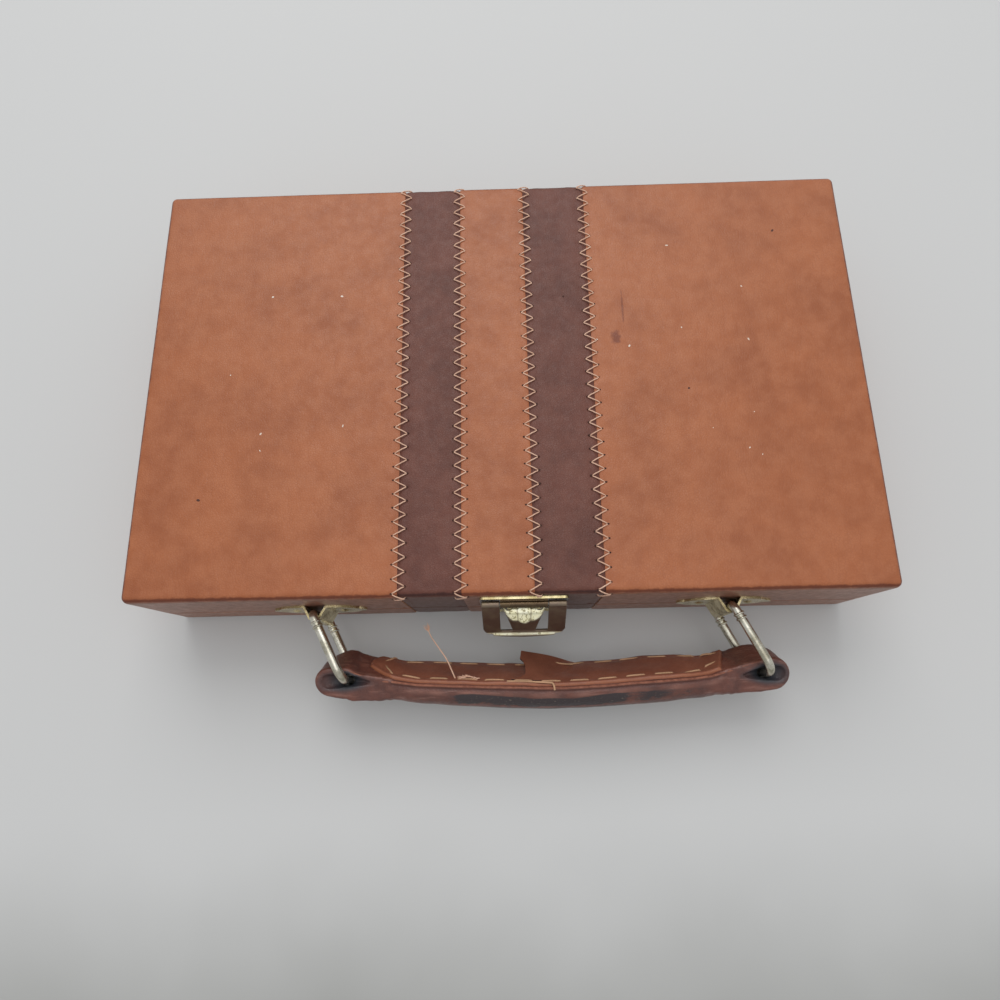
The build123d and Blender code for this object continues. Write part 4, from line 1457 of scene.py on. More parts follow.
    def grid(
        self,
        draft: Draft,
        xs: Sequence[float],
        ys: Sequence[float],
        insets: Sequence[float],
        first: bool,
        last: bool,
        tan_band: bool,
        sunk: float,
    ) -> list[tuple[int, ...]]:
        """Lay the faces of an open box with rounded rims.

        Args:
            draft: the mesh in the making.
            xs, ys, insets: the grid lines.
            first, last: whether the band has the left or the right wall.
            tan_band: whether the band is tan.
            sunk: how far the layer lies below the outer face.

        Returns:
            The layer's faces.
        """
        known: dict[tuple[int, int, int], int] = {}
        corner = self.rim_radius

        def place(i: int, j: int, k: int) -> int:
            key = (i, j, k)
            if key in known:
                return known[key]
            x, y, inset = xs[i], ys[j], insets[k]
            cx = min(max(x, self.low.x + corner), self.high.x - corner)
            cy = min(max(y, self.low.y + corner), self.high.y - corner)
            ci = max(inset, corner)
            away = Vector((x - cx, y - cy, inset - ci))
            unit = away.normalized()
            centre = Vector((cx, cy, ci))
            radius = corner - sunk
            open_rim = self.depth - inset
            if sunk == 0.0:
                radius -= self.relief(x, self.path_place(y, inset), tan_band)
                radius += self.waviness(Vector((x, y, inset))) * smooth_step(open_rim, 0.0, 6.0)
                if open_rim < self.turn_radius:
                    left = self.turn_radius - open_rim
                    radius -= self.turn_radius - math.sqrt(self.turn_radius**2 - left**2)
            put = centre + unit * radius
            number = draft.add((put.x, put.y, self.level(put.z)))
            draft.mark("edge", number, self.rim_mark(away, open_rim))
            known[key] = number
            return number

        faces: list[tuple[int, ...]] = []

        def quad(*corners: tuple[int, int, int]) -> None:
            faces.append(tuple(place(*key) for key in corners))

        nx, ny, nz = len(xs) - 1, len(ys) - 1, len(insets) - 1
        for i in range(nx):
            for j in range(ny):
                quad((i, j, 0), (i + 1, j, 0), (i + 1, j + 1, 0), (i, j + 1, 0))
        for k in range(nz):
            for i in range(nx):
                quad((i, 0, k + 1), (i + 1, 0, k + 1), (i + 1, 0, k), (i, 0, k))
                quad((i + 1, ny, k + 1), (i, ny, k + 1), (i, ny, k), (i + 1, ny, k))
            for j in range(ny):
                if first:
                    quad((0, j + 1, k + 1), (0, j, k + 1), (0, j, k), (0, j + 1, k))
                if last:
                    quad((nx, j, k + 1), (nx, j + 1, k + 1), (nx, j + 1, k), (nx, j, k))
        for corners in faces:
            draft.face(*(corners if sunk == 0.0 else reversed(corners)))
        return faces

    def rim_mark(self, away: Vector, open_rim: float) -> float:
        """How much a point lies on a rubbed edge, from 0 to 1."""
        parts = sorted((abs(c) for c in away), reverse=True)
        bent = parts[1] / (parts[0] + 1e-6) if parts[0] > 1e-6 else 0.0
        return max(bent, 0.55 * (1 - smooth_step(open_rim, 0.0, 1.6)))

    @staticmethod
    def close_rims(
        draft: Draft, outer: list[tuple[int, ...]], inner: list[tuple[int, ...]]
    ) -> None:
        """Bridge the open borders of the outer and inner layers."""
        twin = {a: b for f, g in zip(outer, inner) for a, b in zip(f, g)}
        seen = dict.fromkeys(
            edge for corners in outer for edge in zip(corners, corners[1:] + corners[:1])
        )
        for a, b in seen:
            if (b, a) not in seen:
                draft.face(b, a, twin[a], twin[b], kind=1)

    def stitch_path(self, seam: Seam) -> list[Vector]:
        """The line of a seam's zigzag over the case, from front to back."""
        r = self.rim_radius
        shift = seam.brown_side * (self.brown_reach - self.tan_reach) / 2
        x = seam.x + shift
        points = [(self.low.y, r + self.stitch_tail)]
        for i in range(self.bend_steps + 1):
            turn = math.pi / 2 * i / self.bend_steps
            points.append((self.low.y + r - r * math.cos(turn), r - r * math.sin(turn)))
        for i in range(self.bend_steps + 1):
            turn = math.pi / 2 * (1 - i / self.bend_steps)
            points.append((self.high.y - r + r * math.cos(turn), r - r * math.sin(turn)))
        points.append((self.high.y, r + self.stitch_tail))
        return [Vector((x, y, self.level(inset))) for y, inset in points]

    def build(self, finishes: Finishes) -> None:
        """Build the five bands, and the seams' thread on the lid."""
        tones = {Slot.TAN: finishes.tan, Slot.BROWN: finishes.brown}
        for i, (name, slot) in enumerate(self.bands):
            face = tones[slot]
            if self.half is Half.LID and name == "leather_right":
                face = finishes.tan_marked
            self.band(i, (face, finishes.cut_edge))
            log.info("leather band %s of the %s", name, self.half.value)
        if self.half is Half.LID:
            self.sew(finishes)

    def sew(self, finishes: Finishes) -> None:
        """Lay the zigzag threads and their needle holes on the lid."""
        size = {
            "Pitch": self.stitch_pitch * METRES_PER_MM,
            "Width": (self.tan_reach + self.brown_reach) * METRES_PER_MM,
        }
        repeats = (
            ("zigzag_thread", zigzag_tree(), finishes.thread),
            # The holes' dark flecks are painted shade.
            ("needle_holes", needle_hole_tree(), finishes.hole),
        )
        for side, brown_side in (("left_edges", 1), ("right_edges", -1)):
            paths = [self.stitch_path(s) for s in self.seams if s.brown_side == brown_side]
            for name, tree, material in repeats:
                values = {**size, "Material": material}
                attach(repeat_along(f"{name}_{side}", tree, paths, values), Body.LID.value)
        log.info("zigzag seams")


@dataclass
class Marks:
    """Pale specks and dark nicks on the lid."""

    top: float = field(init=False)
    pale: tuple[tuple[float, float], ...] = (
        (-84.0, 33.0), (-58.5, 32.5), (-97.0, 2.0), (-84.5, -20.6), (-84.3, -26.8), (-56.0, -18.4),
        (61.5, 50.0), (87.0, 32.0), (33.7, 12.2), (45.0, 9.3), (64.0, 16.0), (87.2, 10.7),
        (71.4, -22.5), (86.0, -17.0), (83.0, -30.0), (87.0, -32.5),
    )
    dark: tuple[tuple[float, float], ...] = (
        (64.5, -7.6), (-104.0, -44.0), (22.4, 30.0), (101.0, 55.0),
    )
    pale_size: float = 0.42
    dark_size: float = 0.5

    def __post_init__(self) -> None:
        """Read the height of the lid's top."""
        self.top = node_box("lid_leather_left")[1].z

    def build(self, finishes: Finishes) -> None:
        """Scatter the flecks."""
        tree = fleck_tree()
        for name, places, material, size in (
            ("pale_specks", self.pale, finishes.speck, self.pale_size),
            ("dark_nicks", self.dark, finishes.nick, self.dark_size),
        ):
            paths = [[Vector((x, y, self.top))] for x, y in places]
            values = {"Fleck": size * METRES_PER_MM, "Material": material}
            flecks = repeat_along(name, tree, paths, values)
            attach(flecks, Body.LID.value)
        log.info("specks and nicks")


# -------------------------------------------------------------------- the inside


SIDES = ((0, -1), (0, 1), (-1, 0), (1, 0))
ROUNDED_SHARE = 0.49

@dataclass
class SoftBlock:
    """A board or strip wrapped in felt, with soft rounded edges."""

    low: Vector
    high: Vector
    radius: float
    pitch: float = 3.0
    lump: float = 0.12

    def lay(self, draft: Draft) -> None:
        """Add the block to a draft as a closed skin."""
        reaches = [
            min(self.radius, (b - a) * ROUNDED_SHARE) for a, b in zip(self.low, self.high)
        ]
        limit = min(reaches)
        lines = []
        for a, b, reach in zip(self.low, self.high, reaches):
            near = rounding_lines(reach)[::2]
            lines.append(spread(a, b, near, near, self.pitch))
        known: dict[tuple[int, int, int], int] = {}
        ends = [len(line) - 1 for line in lines]

        def place(*key: int) -> int:
            if key not in known:
                point = Vector(lines[axis][key[axis]] for axis in range(3))
                core = Vector(
                    min(max(c, a + reach), b - reach)
                    for c, a, b, reach in zip(point, self.low, self.high, reaches)
                )
                away = point - core
                if away.length > limit:
                    away = away.normalized() * limit
                soft = noise.noise(point * 0.09) * self.lump
                known[key] = draft.add(core + away * (1 + soft / max(limit, 0.2)))
            return known[key]

        for axis in range(3):
            u, v = (axis + 1) % 3, (axis + 2) % 3
            for side in (0, ends[axis]):
                for i in range(ends[u]):
                    for j in range(ends[v]):
                        corners = []
                        for di, dj in ((0, 0), (1, 0), (1, 1), (0, 1)):
                            key = [0, 0, 0]
                            key[axis], key[u], key[v] = side, i + di, j + dj
                            corners.append(place(*key))
                        draft.face(*(corners if side else reversed(corners)))


@dataclass
class Tray:
    """The felt covered tray in the base, its dividers and the floor lining."""

    wall: float = 2.2
    step: float = 1.5
    edge: float = 0.9

    def build(self, finishes: Finishes) -> None:
        """Replace the plain tray with felt covered strips."""
        low, high = node_box("tray_frame")
        seam = node_box("base_leather_left")[1].z
        draft = Draft()
        inset = self.step
        for sx, sy in SIDES:
            ledge_low, ledge_high = self.side(low, high, sx, sy, 0.0, self.wall + inset)
            ledge_high.z = seam
            SoftBlock(ledge_low, ledge_high, 0.4, 5.0).lay(draft)
            rail_low, rail_high = self.side(low, high, sx, sy, inset, self.wall)
            SoftBlock(rail_low, rail_high, self.edge).lay(draft)
        frame_piece = draft.piece("felt_tray_frame", Body.BASE, [finishes.felt], 60)
        finish_as(frame_piece, Slot.FELT, "tray_frame")
        for name in ("divider_left", "divider_middle", "divider_right"):
            bar = Draft()
            SoftBlock(*node_box(name), 1.8).lay(bar)
            bar_piece = bar.piece(f"felt_{name}", Body.BASE, [finishes.felt], 60)
            finish_as(bar_piece, Slot.FELT, name)
        floor = Draft()
        floor_low, floor_high = node_box("tray_floor_lining")
        SoftBlock(floor_low, floor_high, 0.3, 6.0, 0.03).lay(floor)
        lining = floor.piece("felt_floor", Body.BASE, [finishes.felt], 60)
        finish_as(lining, Slot.FELT, "tray_floor_lining")
        log.info("felt tray")

    @staticmethod
    def side(
        low: Vector, high: Vector, sx: int, sy: int, inset: float, width: float
    ) -> tuple[Vector, Vector]:
        """The box of one side of a frame.

        Args:
            low, high: the frame's box.
            sx, sy: which side it is, as a direction.
            inset: how far the side lies in from the box.
            width: how wide the side is.

        Returns:
            The side's lowest and highest corner.
        """
        a = Vector((low.x + inset, low.y + inset, low.z))
        b = Vector((high.x - inset, high.y - inset, high.z))
        if sx:
            a.y += width
            b.y -= width
        if sy < 0:
            b.y = a.y + width
        if sy > 0:
            a.y = b.y - width
        if sx < 0:
            b.x = a.x + width
        if sx > 0:
            a.x = b.x - width
        return a, b


@dataclass
class LidLining:
    """The felt round the lid's sides and the padded cloth under its top."""

    grid: float = 4.0
    inset: float = 0.6
    pressure: float = 4.0
    cap: float = 1.6
    glue_depth: float = 0.002
    frames: int = 20

    def build(self, finishes: Finishes) -> None:
        """Build the side lining and the pad."""
        self.sides(finishes)
        self.pad(finishes)
        log.info("lid lining")

    def sides(self, finishes: Finishes) -> None:
        """Four strips of felt glued to the lid's walls."""
        low, high = node_box("lid_side_lining")
        sheet = node_box("lid_pad")[0].x - low.x
        draft = Draft()
        for sx, sy in SIDES:
            a, b = Tray.side(low, high, sx, sy, 0.0, sheet)
            SoftBlock(a, b, 0.35, 5.0, 0.03).lay(draft)
        piece = draft.piece("felt_lid_sides", Body.LID, [finishes.felt], 60)
        finish_as(piece, Slot.FELT, "lid_side_lining")

    def pad(self, finishes: Finishes) -> None:
        """A soft pad that swells under cloth pressure, glued to the top board."""
        low, high = node_box("lid_pad")
        draft = Draft()
        inset = Vector((self.inset, self.inset, 0.0))
        room = Vector((0, 0, self.cap))
        SoftBlock(low + inset + room, high - inset, 1.3, self.grid, 0.0).lay(draft)
        piece = draft.piece("padded_lid_cloth", Body.LID, [finishes.felt], 60)
        self.swell(piece, high.z * METRES_PER_MM)
        finish_as(piece, Slot.FELT, "lid_pad")

    def swell(self, piece: bpy.types.Object, glued_at: float) -> None:
        """Run the cloth simulation and keep its capped result.

        Args:
            piece: the pad.
            glued_at: the height of the glued face, in metres.
        """
        mesh = piece.data
        start = [v.co.copy() for v in mesh.vertices]
        glued = piece.vertex_groups.new(name="glued")
        fixed = [i for i, co in enumerate(start) if co.z > glued_at - self.glue_depth]
        glued.add(fixed, 1.0, "REPLACE")
        cloth = piece.modifiers.new("cloth", "CLOTH")
        cloth.settings.use_pressure = True
        cloth.settings.uniform_pressure_force = self.pressure
        cloth.settings.vertex_group_mass = glued.name
        cloth.settings.effector_weights.gravity = 0.0
        cloth.settings.quality = 4
        cloth.collision_settings.use_collision = False
        cloth.point_cache.frame_start = 1
        cloth.point_cache.frame_end = self.frames
        scene = bpy.context.scene
        for step in range(1, self.frames + 1):
            scene.frame_set(step)
        swollen = evaluated(piece)
        limit = self.cap * METRES_PER_MM
        for vertex, rest, result in zip(mesh.vertices, start, swollen.vertices):
            move = result.co - rest
            if move.length > limit:
                move = move.normalized() * limit
            vertex.co = rest + Vector((0.0, 0.0, min(0.0, move.z)))
        piece.modifiers.clear()
        piece.vertex_groups.clear()
        bpy.data.meshes.remove(swollen)
        scene.frame_set(1)
        mesh.update()


# --------------------------------------------------------------------- the handle


EASE_SHARE = 0.35
CROWN_POWER = 0.85
ON_BAR = 1e-3
FAR_OFF = 99.0
HULL_STEPS = 72
LOOP_POINTS = 64

def eased(table: Sequence[tuple[float, float]], x: float) -> float:
    """A smooth reading between the rows of a table.

    Args:
        table: pairs of place and value, with rising places.
        x: the place to read at.

    Returns:
        The value there, held level past both ends.
    """
    if x <= table[0][0]:
        return table[0][1]
    for (x0, v0), (x1, v1) in zip(table, table[1:]):
        if x <= x1:
            bend = (v1 - v0) * smooth_step(x, x0, x1) * EASE_SHARE
            return v0 + bend + (v1 - v0) * (x - x0) / (x1 - x0) * (1 - EASE_SHARE)
    return table[-1][1]


Circle = tuple[float, float, float]


def hull_reach(
    circles: Sequence[Circle], origin: tuple[float, float], heading: tuple[float, float]
) -> float:
    """How far the hull of some circles reaches from a point inside it.

    Args:
        circles: centres and radii.
        origin: the point inside.
        heading: the direction, one long.

    Returns:
        The distance to the hull's border.
    """
    best = math.inf
    for step in range(HULL_STEPS):
        turn = math.tau * step / HULL_STEPS
        vx, vy = math.cos(turn), math.sin(turn)
        facing = vx * heading[0] + vy * heading[1]
        if facing > 0.04:
            support = max(cx * vx + cy * vy + r for cx, cy, r in circles)
            best = min(best, (support - origin[0] * vx - origin[1] * vy) / facing)
    return best


@dataclass(frozen=True)
class Loop:
    """One end loop of the handle, measured outwards from the handle's middle.

    The eye, shoulder, root and root_low are circles seen along the handle's width. The two
    leans say how far the shoulder and the root move with height, hollow_x is where the
    hollow ends, and the ridge is the line of the rolled edge by place and depth.
    """

    side: int
    eye: Circle
    shoulder: Circle
    lean: float
    root: Circle
    root_lean: float
    root_low: Circle
    hollow_x: float
    ridge: tuple[tuple[float, float], ...]


@dataclass
class Handle:
    """The strap handle: its cover, the stitched facing, a torn flap and a loose thread."""

    tilt: float = 20.0
    drop: float = 3.0
    bar_x: float = 71.4
    neck_x: float = 52.0
    grip_half: float = 54.0
    width: float = 19.0
    end_width: float = 17.0
    strap_width: float = 14.4
    edge_depth: float = 1.9
    core_inset: float = 1.9
    core_half: float = 47.0
    outer_roll: float = 1.2
    inner_roll: float = 0.8
    wire_room: float = 1.95
    bowl_depth: float = 5.0
    shoulder_shrink: float = 0.05
    voxel: float = 0.45
    facing_tip: float = -64.4
    facing_end: float = 58.2
    facing_slant: float = -0.31
    facing_thickness: float = 1.15
    low_margin: float = 1.0
    high_margin: float = 1.15
    low_row: float = 1.5
    high_row: float = 1.85
    stitch_pitch: float = 9.3
    bead: float = 0.42
    loops: tuple[Loop, ...] = (
        Loop(
            side=-1,
            eye=(77.3, 1.6, 5.0),
            shoulder=(72.3, 3.2, 6.1),
            lean=0.15,
            root=(68.5, 1.05, 4.6),
            root_lean=-0.279,
            root_low=(68.5, 0.3, 4.3),
            hollow_x=77.6,
            ridge=((59.8, 1.8), (62.2, 2.3), (64.5, 3.1), (67.5, 4.3), (70.0, 5.3), (72.3, 6.1)),
        ),
        Loop(
            side=1,
            eye=(73.7, 1.6, 5.6),
            shoulder=(70.2, 2.2, 6.1),
            lean=0.09,
            root=(68.0, 2.5, 4.6),
            root_lean=-0.143,
            root_low=(69.0, -0.4, 4.4),
            hollow_x=75.2,
            ridge=((59.8, 3.2), (62.4, 4.1), (65.5, 5.1), (69.0, 6.3)),
        ),
    )
    low_face: tuple[tuple[float, float], ...] = (
        (-58.0, 3.1), (-51.0, 3.5), (-42.0, 2.9), (-35.0, 2.3), (-19.0, 1.5), (-5.0, 1.0),
        (6.0, 0.95), (13.0, 1.6), (24.0, 2.5), (32.0, 3.3), (43.0, 3.6), (52.0, 3.1), (58.0, 3.5),
    )
    ridge_face: tuple[tuple[float, float], ...] = (
        (-58.0, 1.9), (-46.0, 0.9), (-32.5, 0.35), (-19.0, -0.15), (-12.0, -0.35), (-5.4, -0.7),
        (3.0, -0.8), (15.0, -0.35), (28.4, 0.5), (45.2, 1.3), (52.2, 1.75), (58.0, 2.95),
    )
    crest: tuple[tuple[float, float], ...] = (
        (-60.0, -5.9), (-46.8, -7.5), (-33.0, -8.8), (-19.2, -9.7), (-5.4, -10.4), (8.4, -10.3),
        (18.0, -9.8), (29.0, -9.0), (46.2, -7.7), (60.0, -6.9),
    )
    skin_half: float = 58.0
    section_pitch: float = 1.6
    levels: tuple[float, ...] = (
        -0.98, -0.97, -0.92, -0.85, -0.7, -0.45, -0.15, 0.15, 0.45, 0.7, 0.85, 0.92, 0.97, 0.98,
    )
    least_wall: float = 1.1
    ridge_height: float = 6.75
    tear: tuple[tuple[float, float], ...] = (
        (0.0, -11.3), (0.26, -11.9), (0.36, -10.5), (0.6, -10.0), (0.8, -10.3), (0.93, -12.5),
        (1.0, -15.0),
    )
    flap_low: float = -9.1
    flap_height: float = 15.4
    flap_hinge: float = 9.0
    strip_route: tuple[Point, ...] = (
        (-16.5, 7.7, 1.3), (-11.0, 7.7, 1.35), (-6.0, 8.0, 1.4), (-2.0, 8.5, 1.4),
        (-1.0, 9.0, 1.3), (-0.6, 9.7, 0.4), (-0.5, 9.9, -0.6),
    )
    fold_route: tuple[tuple[float, float], ...] = (
        (0.4, -6.3), (2.2, -5.9), (4.6, -5.6), (7.0, -5.6),
    )
    thread_root: Point = (-33.6, 0.4, -34.0)
    thread_route: tuple[Point, ...] = (
        (-35.4, 4.2, 4.4), (-37.2, 7.8, 3.2), (-40.4, 12.2, 1.8), (-42.6, 15.4, 1.2),
        (-43.4, 17.6, 1.0),
    )
    tip_hairs: int = 16
    root_hairs: int = 26
    place: Matrix = field(init=False)

    def __post_init__(self) -> None:
        """Work out the handle's own frame from its joint."""
        left_eye = joint_anchor("handle_swing")
        centre = left_eye + Vector((self.bar_x, 0.0, -self.drop))
        self.place = Matrix.Translation(centre) @ Matrix.Rotation(math.radians(self.tilt), 4, "X")

    def half_width(self, x: float) -> float:
        """Half of the grip's width at x, narrowing to the strap past its ends."""
        swell = max(0.0, 1 - (x / self.grip_half) ** 2)
        grip = (self.end_width + (self.width - self.end_width) * swell) / 2
        past = smooth_step(abs(x), self.grip_half - 10, self.grip_half + 6)
        return grip + (self.strap_width / 2 - grip) * past

    def face_y(self, x: float, z: float) -> float:
        """Where the grip's case side lies at x and z."""
        half = self.half_width(x)
        share = min(1.0, max(0.0, (z + half) / (2 * half)))
        low = eased(self.low_face, x)
        return low + (eased(self.ridge_face, x) - low) * share

    def world(self, x: float, y: float, z: float) -> Vector:
        """A point of the handle's own frame in the case's frame."""
        return self.place @ Vector((x, y, z))

    def bar_y(self, z: float) -> float:
        """Where the wire's bar lies at z, as the handle tilts against it."""
        return z * math.tan(math.radians(self.tilt))

    def build(self, finishes: Finishes) -> None:
        """Build every piece of the handle."""
        cover = self.cover(finishes)
        self.piping(finishes)
        self.core(finishes)
        tree = self.search_tree(cover)
        self.facing(tree, finishes)
        self.flap(finishes)
        self.loose_thread(finishes)

    def section(self, x: float, inset: float) -> list[Vector]:
        """The grip's outline at x: flat towards the case, crowned outwards."""
        half = self.half_width(x) - inset
        low, high = self.face_y(x, -half) - inset, self.face_y(x, half) - inset
        crest = eased(self.crest, x) + inset
        wall = max(0.2, self.edge_depth - inset * 0.5)
        points = [(low + (high - low) * i / 12, -half + 2 * half * i / 12) for i in range(13)]
        points += [(high - wall * i / 3, half) for i in (1, 2)]
        top, foot = high - wall, low - wall
        depth = (top + foot) / 2 - crest
        for i in range(27):
            turn = math.pi * i / 26
            bulge = depth * max(0.0, math.sin(turn)) ** CROWN_POWER
            y = top + (foot - top) * (1 - math.cos(turn)) / 2 - bulge
            points.append((y, half * math.cos(turn)))
        points += [(low - wall * i / 3, -half) for i in (2, 1)]
        return [self.world(x, y, z) for y, z in points]

    def grip(self, draft: Draft, half_length: float, inset: float) -> None:
        """Loft the grip between its ends."""
        count = round(2 * half_length / self.section_pitch)
        places = [-half_length + 2 * half_length * i / count for i in range(count + 1)]
        draft.sweep([self.section(x, inset) for x in places])

    def crown_y(self, x: float, z: float) -> float:
        """Where the grip's outer side lies at x and z."""
        half = self.half_width(x)
        cosine = min(1.0, max(-1.0, z / half))
        top = self.face_y(x, half) - self.edge_depth
        foot = self.face_y(x, -half) - self.edge_depth
        depth = (top + foot) / 2 - eased(self.crest, x)
        bulge = depth * math.sqrt(1 - cosine * cosine) ** CROWN_POWER
        return top + (foot - top) * (1 - cosine) / 2 - bulge

    def outer_reach(
        self, loop: Loop, z: float, start: tuple[float, float], heading: tuple[float, float]
    ) -> float:
        """How far a loop's outline reaches from its bar at a height.

        Args:
            loop: the loop.
            z: the height.
            start: the bar's place at that height.
            heading: the direction, one long.

        Returns:
            The distance to the outline of the eye and the root together.
        """
        x, y, r = loop.shoulder
        up = z + self.strap_width / 2
        eye = (loop.eye, (x, y - loop.lean * up, r - self.shoulder_shrink * up))
        near = self.face_y(loop.side * self.neck_x, z) - 0.3
        far = self.crown_y(loop.side * self.neck_x, z) + 0.35
        neck = (self.neck_x, (near + far) / 2, max(1.0, (near - far) / 2))
        x, y, r = loop.root
        root = (neck, (x, y + loop.root_lean * z, r), loop.root_low)
        return max(hull_reach(eye, start, heading), hull_reach(root, start, heading))

    def hollow_circles(self, loop: Loop, z: float) -> list[Circle]:
        """The circles whose hull is the hollow of a loop at a height."""
        wire_y = self.bar_y(z)
        bowl = 1 - smooth_step(self.strap_width / 2 - abs(z), 0.3, self.bowl_depth)
        low = smooth_step(-z, 4.0, 7.2)
        return [
            (self.bar_x, wire_y, self.wire_room),
            (self.bar_x, 1.1 * low + wire_y * (1 - low), self.wire_room - 0.1 + 1.1 * low),
            (
                self.bar_x + (loop.hollow_x - self.bar_x) * bowl,
                wire_y + (0.9 - 0.6 * wire_y) * bowl,
                1.6 + 0.9 * bowl,
            ),
            (self.bar_x - 8.4 * bowl, wire_y + (0.5 - 0.7 * wire_y) * bowl, 1.2 - 0.85 * bowl),
        ]

    def loop_rings(self, loop: Loop) -> tuple[list[list[Vector]], list[list[Vector]]]:
        """The outer and inner rings of points of a loop, from its low edge to its high one."""
        outer, inner = [], []
        half = self.strap_width / 2
        for level in self.levels:
            z = level * half
            rounding = []
            for radius in (self.outer_roll, self.inner_roll):
                rim = max(0.0, radius - (half - abs(z))) / radius
                rounding.append(radius * (1 - math.sqrt(1 - rim * rim)))
            roll, flare = rounding
            start = (self.bar_x, self.bar_y(z))
            outer_ring, inner_ring = [], []
            for step in range(LOOP_POINTS):
                turn = math.tau * step / LOOP_POINTS
                heading = (math.cos(turn), math.sin(turn))
                far = self.outer_reach(loop, z, start, heading) - roll
                near = hull_reach(self.hollow_circles(loop, z), start, heading) + flare
                near = min(near, far - self.least_wall)
                for reach, ring in ((far, outer_ring), (near, inner_ring)):
                    x, y = start[0] + heading[0] * reach, start[1] + heading[1] * reach
                    ring.append(self.world(loop.side * x, y, z))
            outer.append(outer_ring)
            inner.append(inner_ring)
        return outer, inner

    def loop_solid(self, draft: Draft, loop: Loop) -> None:
        """Add one closed end loop to a draft."""
        outer, inner = self.loop_rings(loop)
        rings = [[draft.add(p) for p in ring] for ring in outer + inner[::-1]]
        for near, far in zip(rings, rings[1:] + rings[:1]):
            for i in range(LOOP_POINTS):
                j = (i + 1) % LOOP_POINTS
                corners = (near[i], near[j], far[j], far[i])
                draft.face(*(corners if loop.side > 0 else reversed(corners)))

    def cover(self, finishes: Finishes) -> bpy.types.Object:
        """The leather cover with its loops, merged into one skin and pressed into folds."""
        draft = Draft()
        self.grip(draft, self.skin_half, 0.0)
        for loop in self.loops:
            self.loop_solid(draft, loop)
        piece = draft.piece("handle_cover_skin", Body.HANDLE, [finishes.grip], 180.0)
        merge_skin(piece, self.voxel, 4)
        self.shape_cover(piece.data)
        log.info("handle cover")
        return finish_as(piece, Slot.HANDLE, "handle_cover")

    def core(self, finishes: Finishes) -> None:
        """The rolled board that fills the grip."""
        draft = Draft()
        self.grip(draft, self.core_half, self.core_inset)
        piece = draft.piece("handle_core_roll", Body.HANDLE, [finishes.core], 50.0)
        finish_as(piece, Slot.CORE, "handle_core")

    def piping(self, finishes: Finishes) -> None:
        """The rolled bead along the two long edges of the cover."""
        draft = Draft()
        for side in (-1, 1):
            route = []
            for step in range(57):
                x = -56.0 + 2 * step
                half = self.half_width(x)
                route.append((x, self.face_y(x, side * half) - 0.25, side * (half - 0.3)))
            if side > 0:
                left, right = (
                    [(loop.side * x, y, self.ridge_height) for x, y in loop.ridge]
                    for loop in self.loops
                )
                route = left[::-1] + route + right
            path = self.rounded([self.world(*p) for p in route], 3)
            last = len(path) - 1
            radii = [self.bead * min(1.0, 0.25 + min(i, last - i) / 24) for i in range(len(path))]
            draft.tube(path, radii, 8)
        draft.piece("handle_rolled_edges", Body.HANDLE, [finishes.piping], 70)
        log.info("rolled edges")

    def hollow_gap(self, p: Vector, n: Vector) -> float:
        """How far a point lies outside a loop's hollow, seen along the handle's width."""
        loop = self.loops[0] if p.x < 0 else self.loops[1]
        x = abs(p.x)
        start = (self.bar_x, self.bar_y(p.z))
        away = Vector((x - start[0], p.y - start[1]))
        if away.length < ON_BAR:
            return 0.0
        away_x, away_y = away.x / away.length, away.y / away.length
        facing_out = smooth_step(loop.side * n.x * away_x + n.y * away_y, 0.2, 0.7)
        gap = away.length - hull_reach(self.hollow_circles(loop, p.z), start, (away_x, away_y))
        return gap + 3.0 * facing_out

    def shape_cover(self, mesh: bpy.types.Mesh) -> None:
        """Press folds into the cover and store where it is rubbed, where its rolled edge gets a painted highlight,
        and where its hollows and groove get painted shade.
        """
        inverse = self.place.inverted()
        turn = inverse.to_3x3()
        names = ("ridge", "rubbed", "hollow", "groove")
        marks: dict[str, list[float]] = {name: [] for name in names}
        moved = []
        for vertex in mesh.vertices:
            p = inverse @ (vertex.co * MM_PER_METRE)
            n = turn @ vertex.normal
            away = abs(p.x)
            outside = self.face_y(p.x, p.z) - p.y
            on_grip = 1 - smooth_step(away, self.grip_half, self.grip_half + 5)
            corner = smooth_step(min(n.y, abs(n.z)), 0.35, 0.6)
            gap = self.hollow_gap(p, n) if away > 60 else FAR_OFF
            reach = math.hypot(away - self.bar_x, p.y - self.bar_y(p.z))
            # Painted shade in the loops' hollows, darkest near the wire's tunnel.
            hollow = (1 - smooth_step(gap, 0.3, 2.8)) * smooth_step(away, 61.0, 64.0)
            hollow *= 1 - 0.6 * smooth_step(reach, 2.6, 8.5)
            broken = 0.5 + 0.9 * noise.noise(Vector((p.x * 0.16, 4.0, 1.0)))
            # Painted highlight: a broken pale streak beside the groove and a paler rounded corner.
            gleam = bell(outside - 2.6, 0.8) * broken
            edge_highlight = 0.4 * corner * (1 - hollow) * (1 - smooth_step(away, 70.0, 74.0))
            ridge = max(edge_highlight, 0.55 * gleam * on_grip)
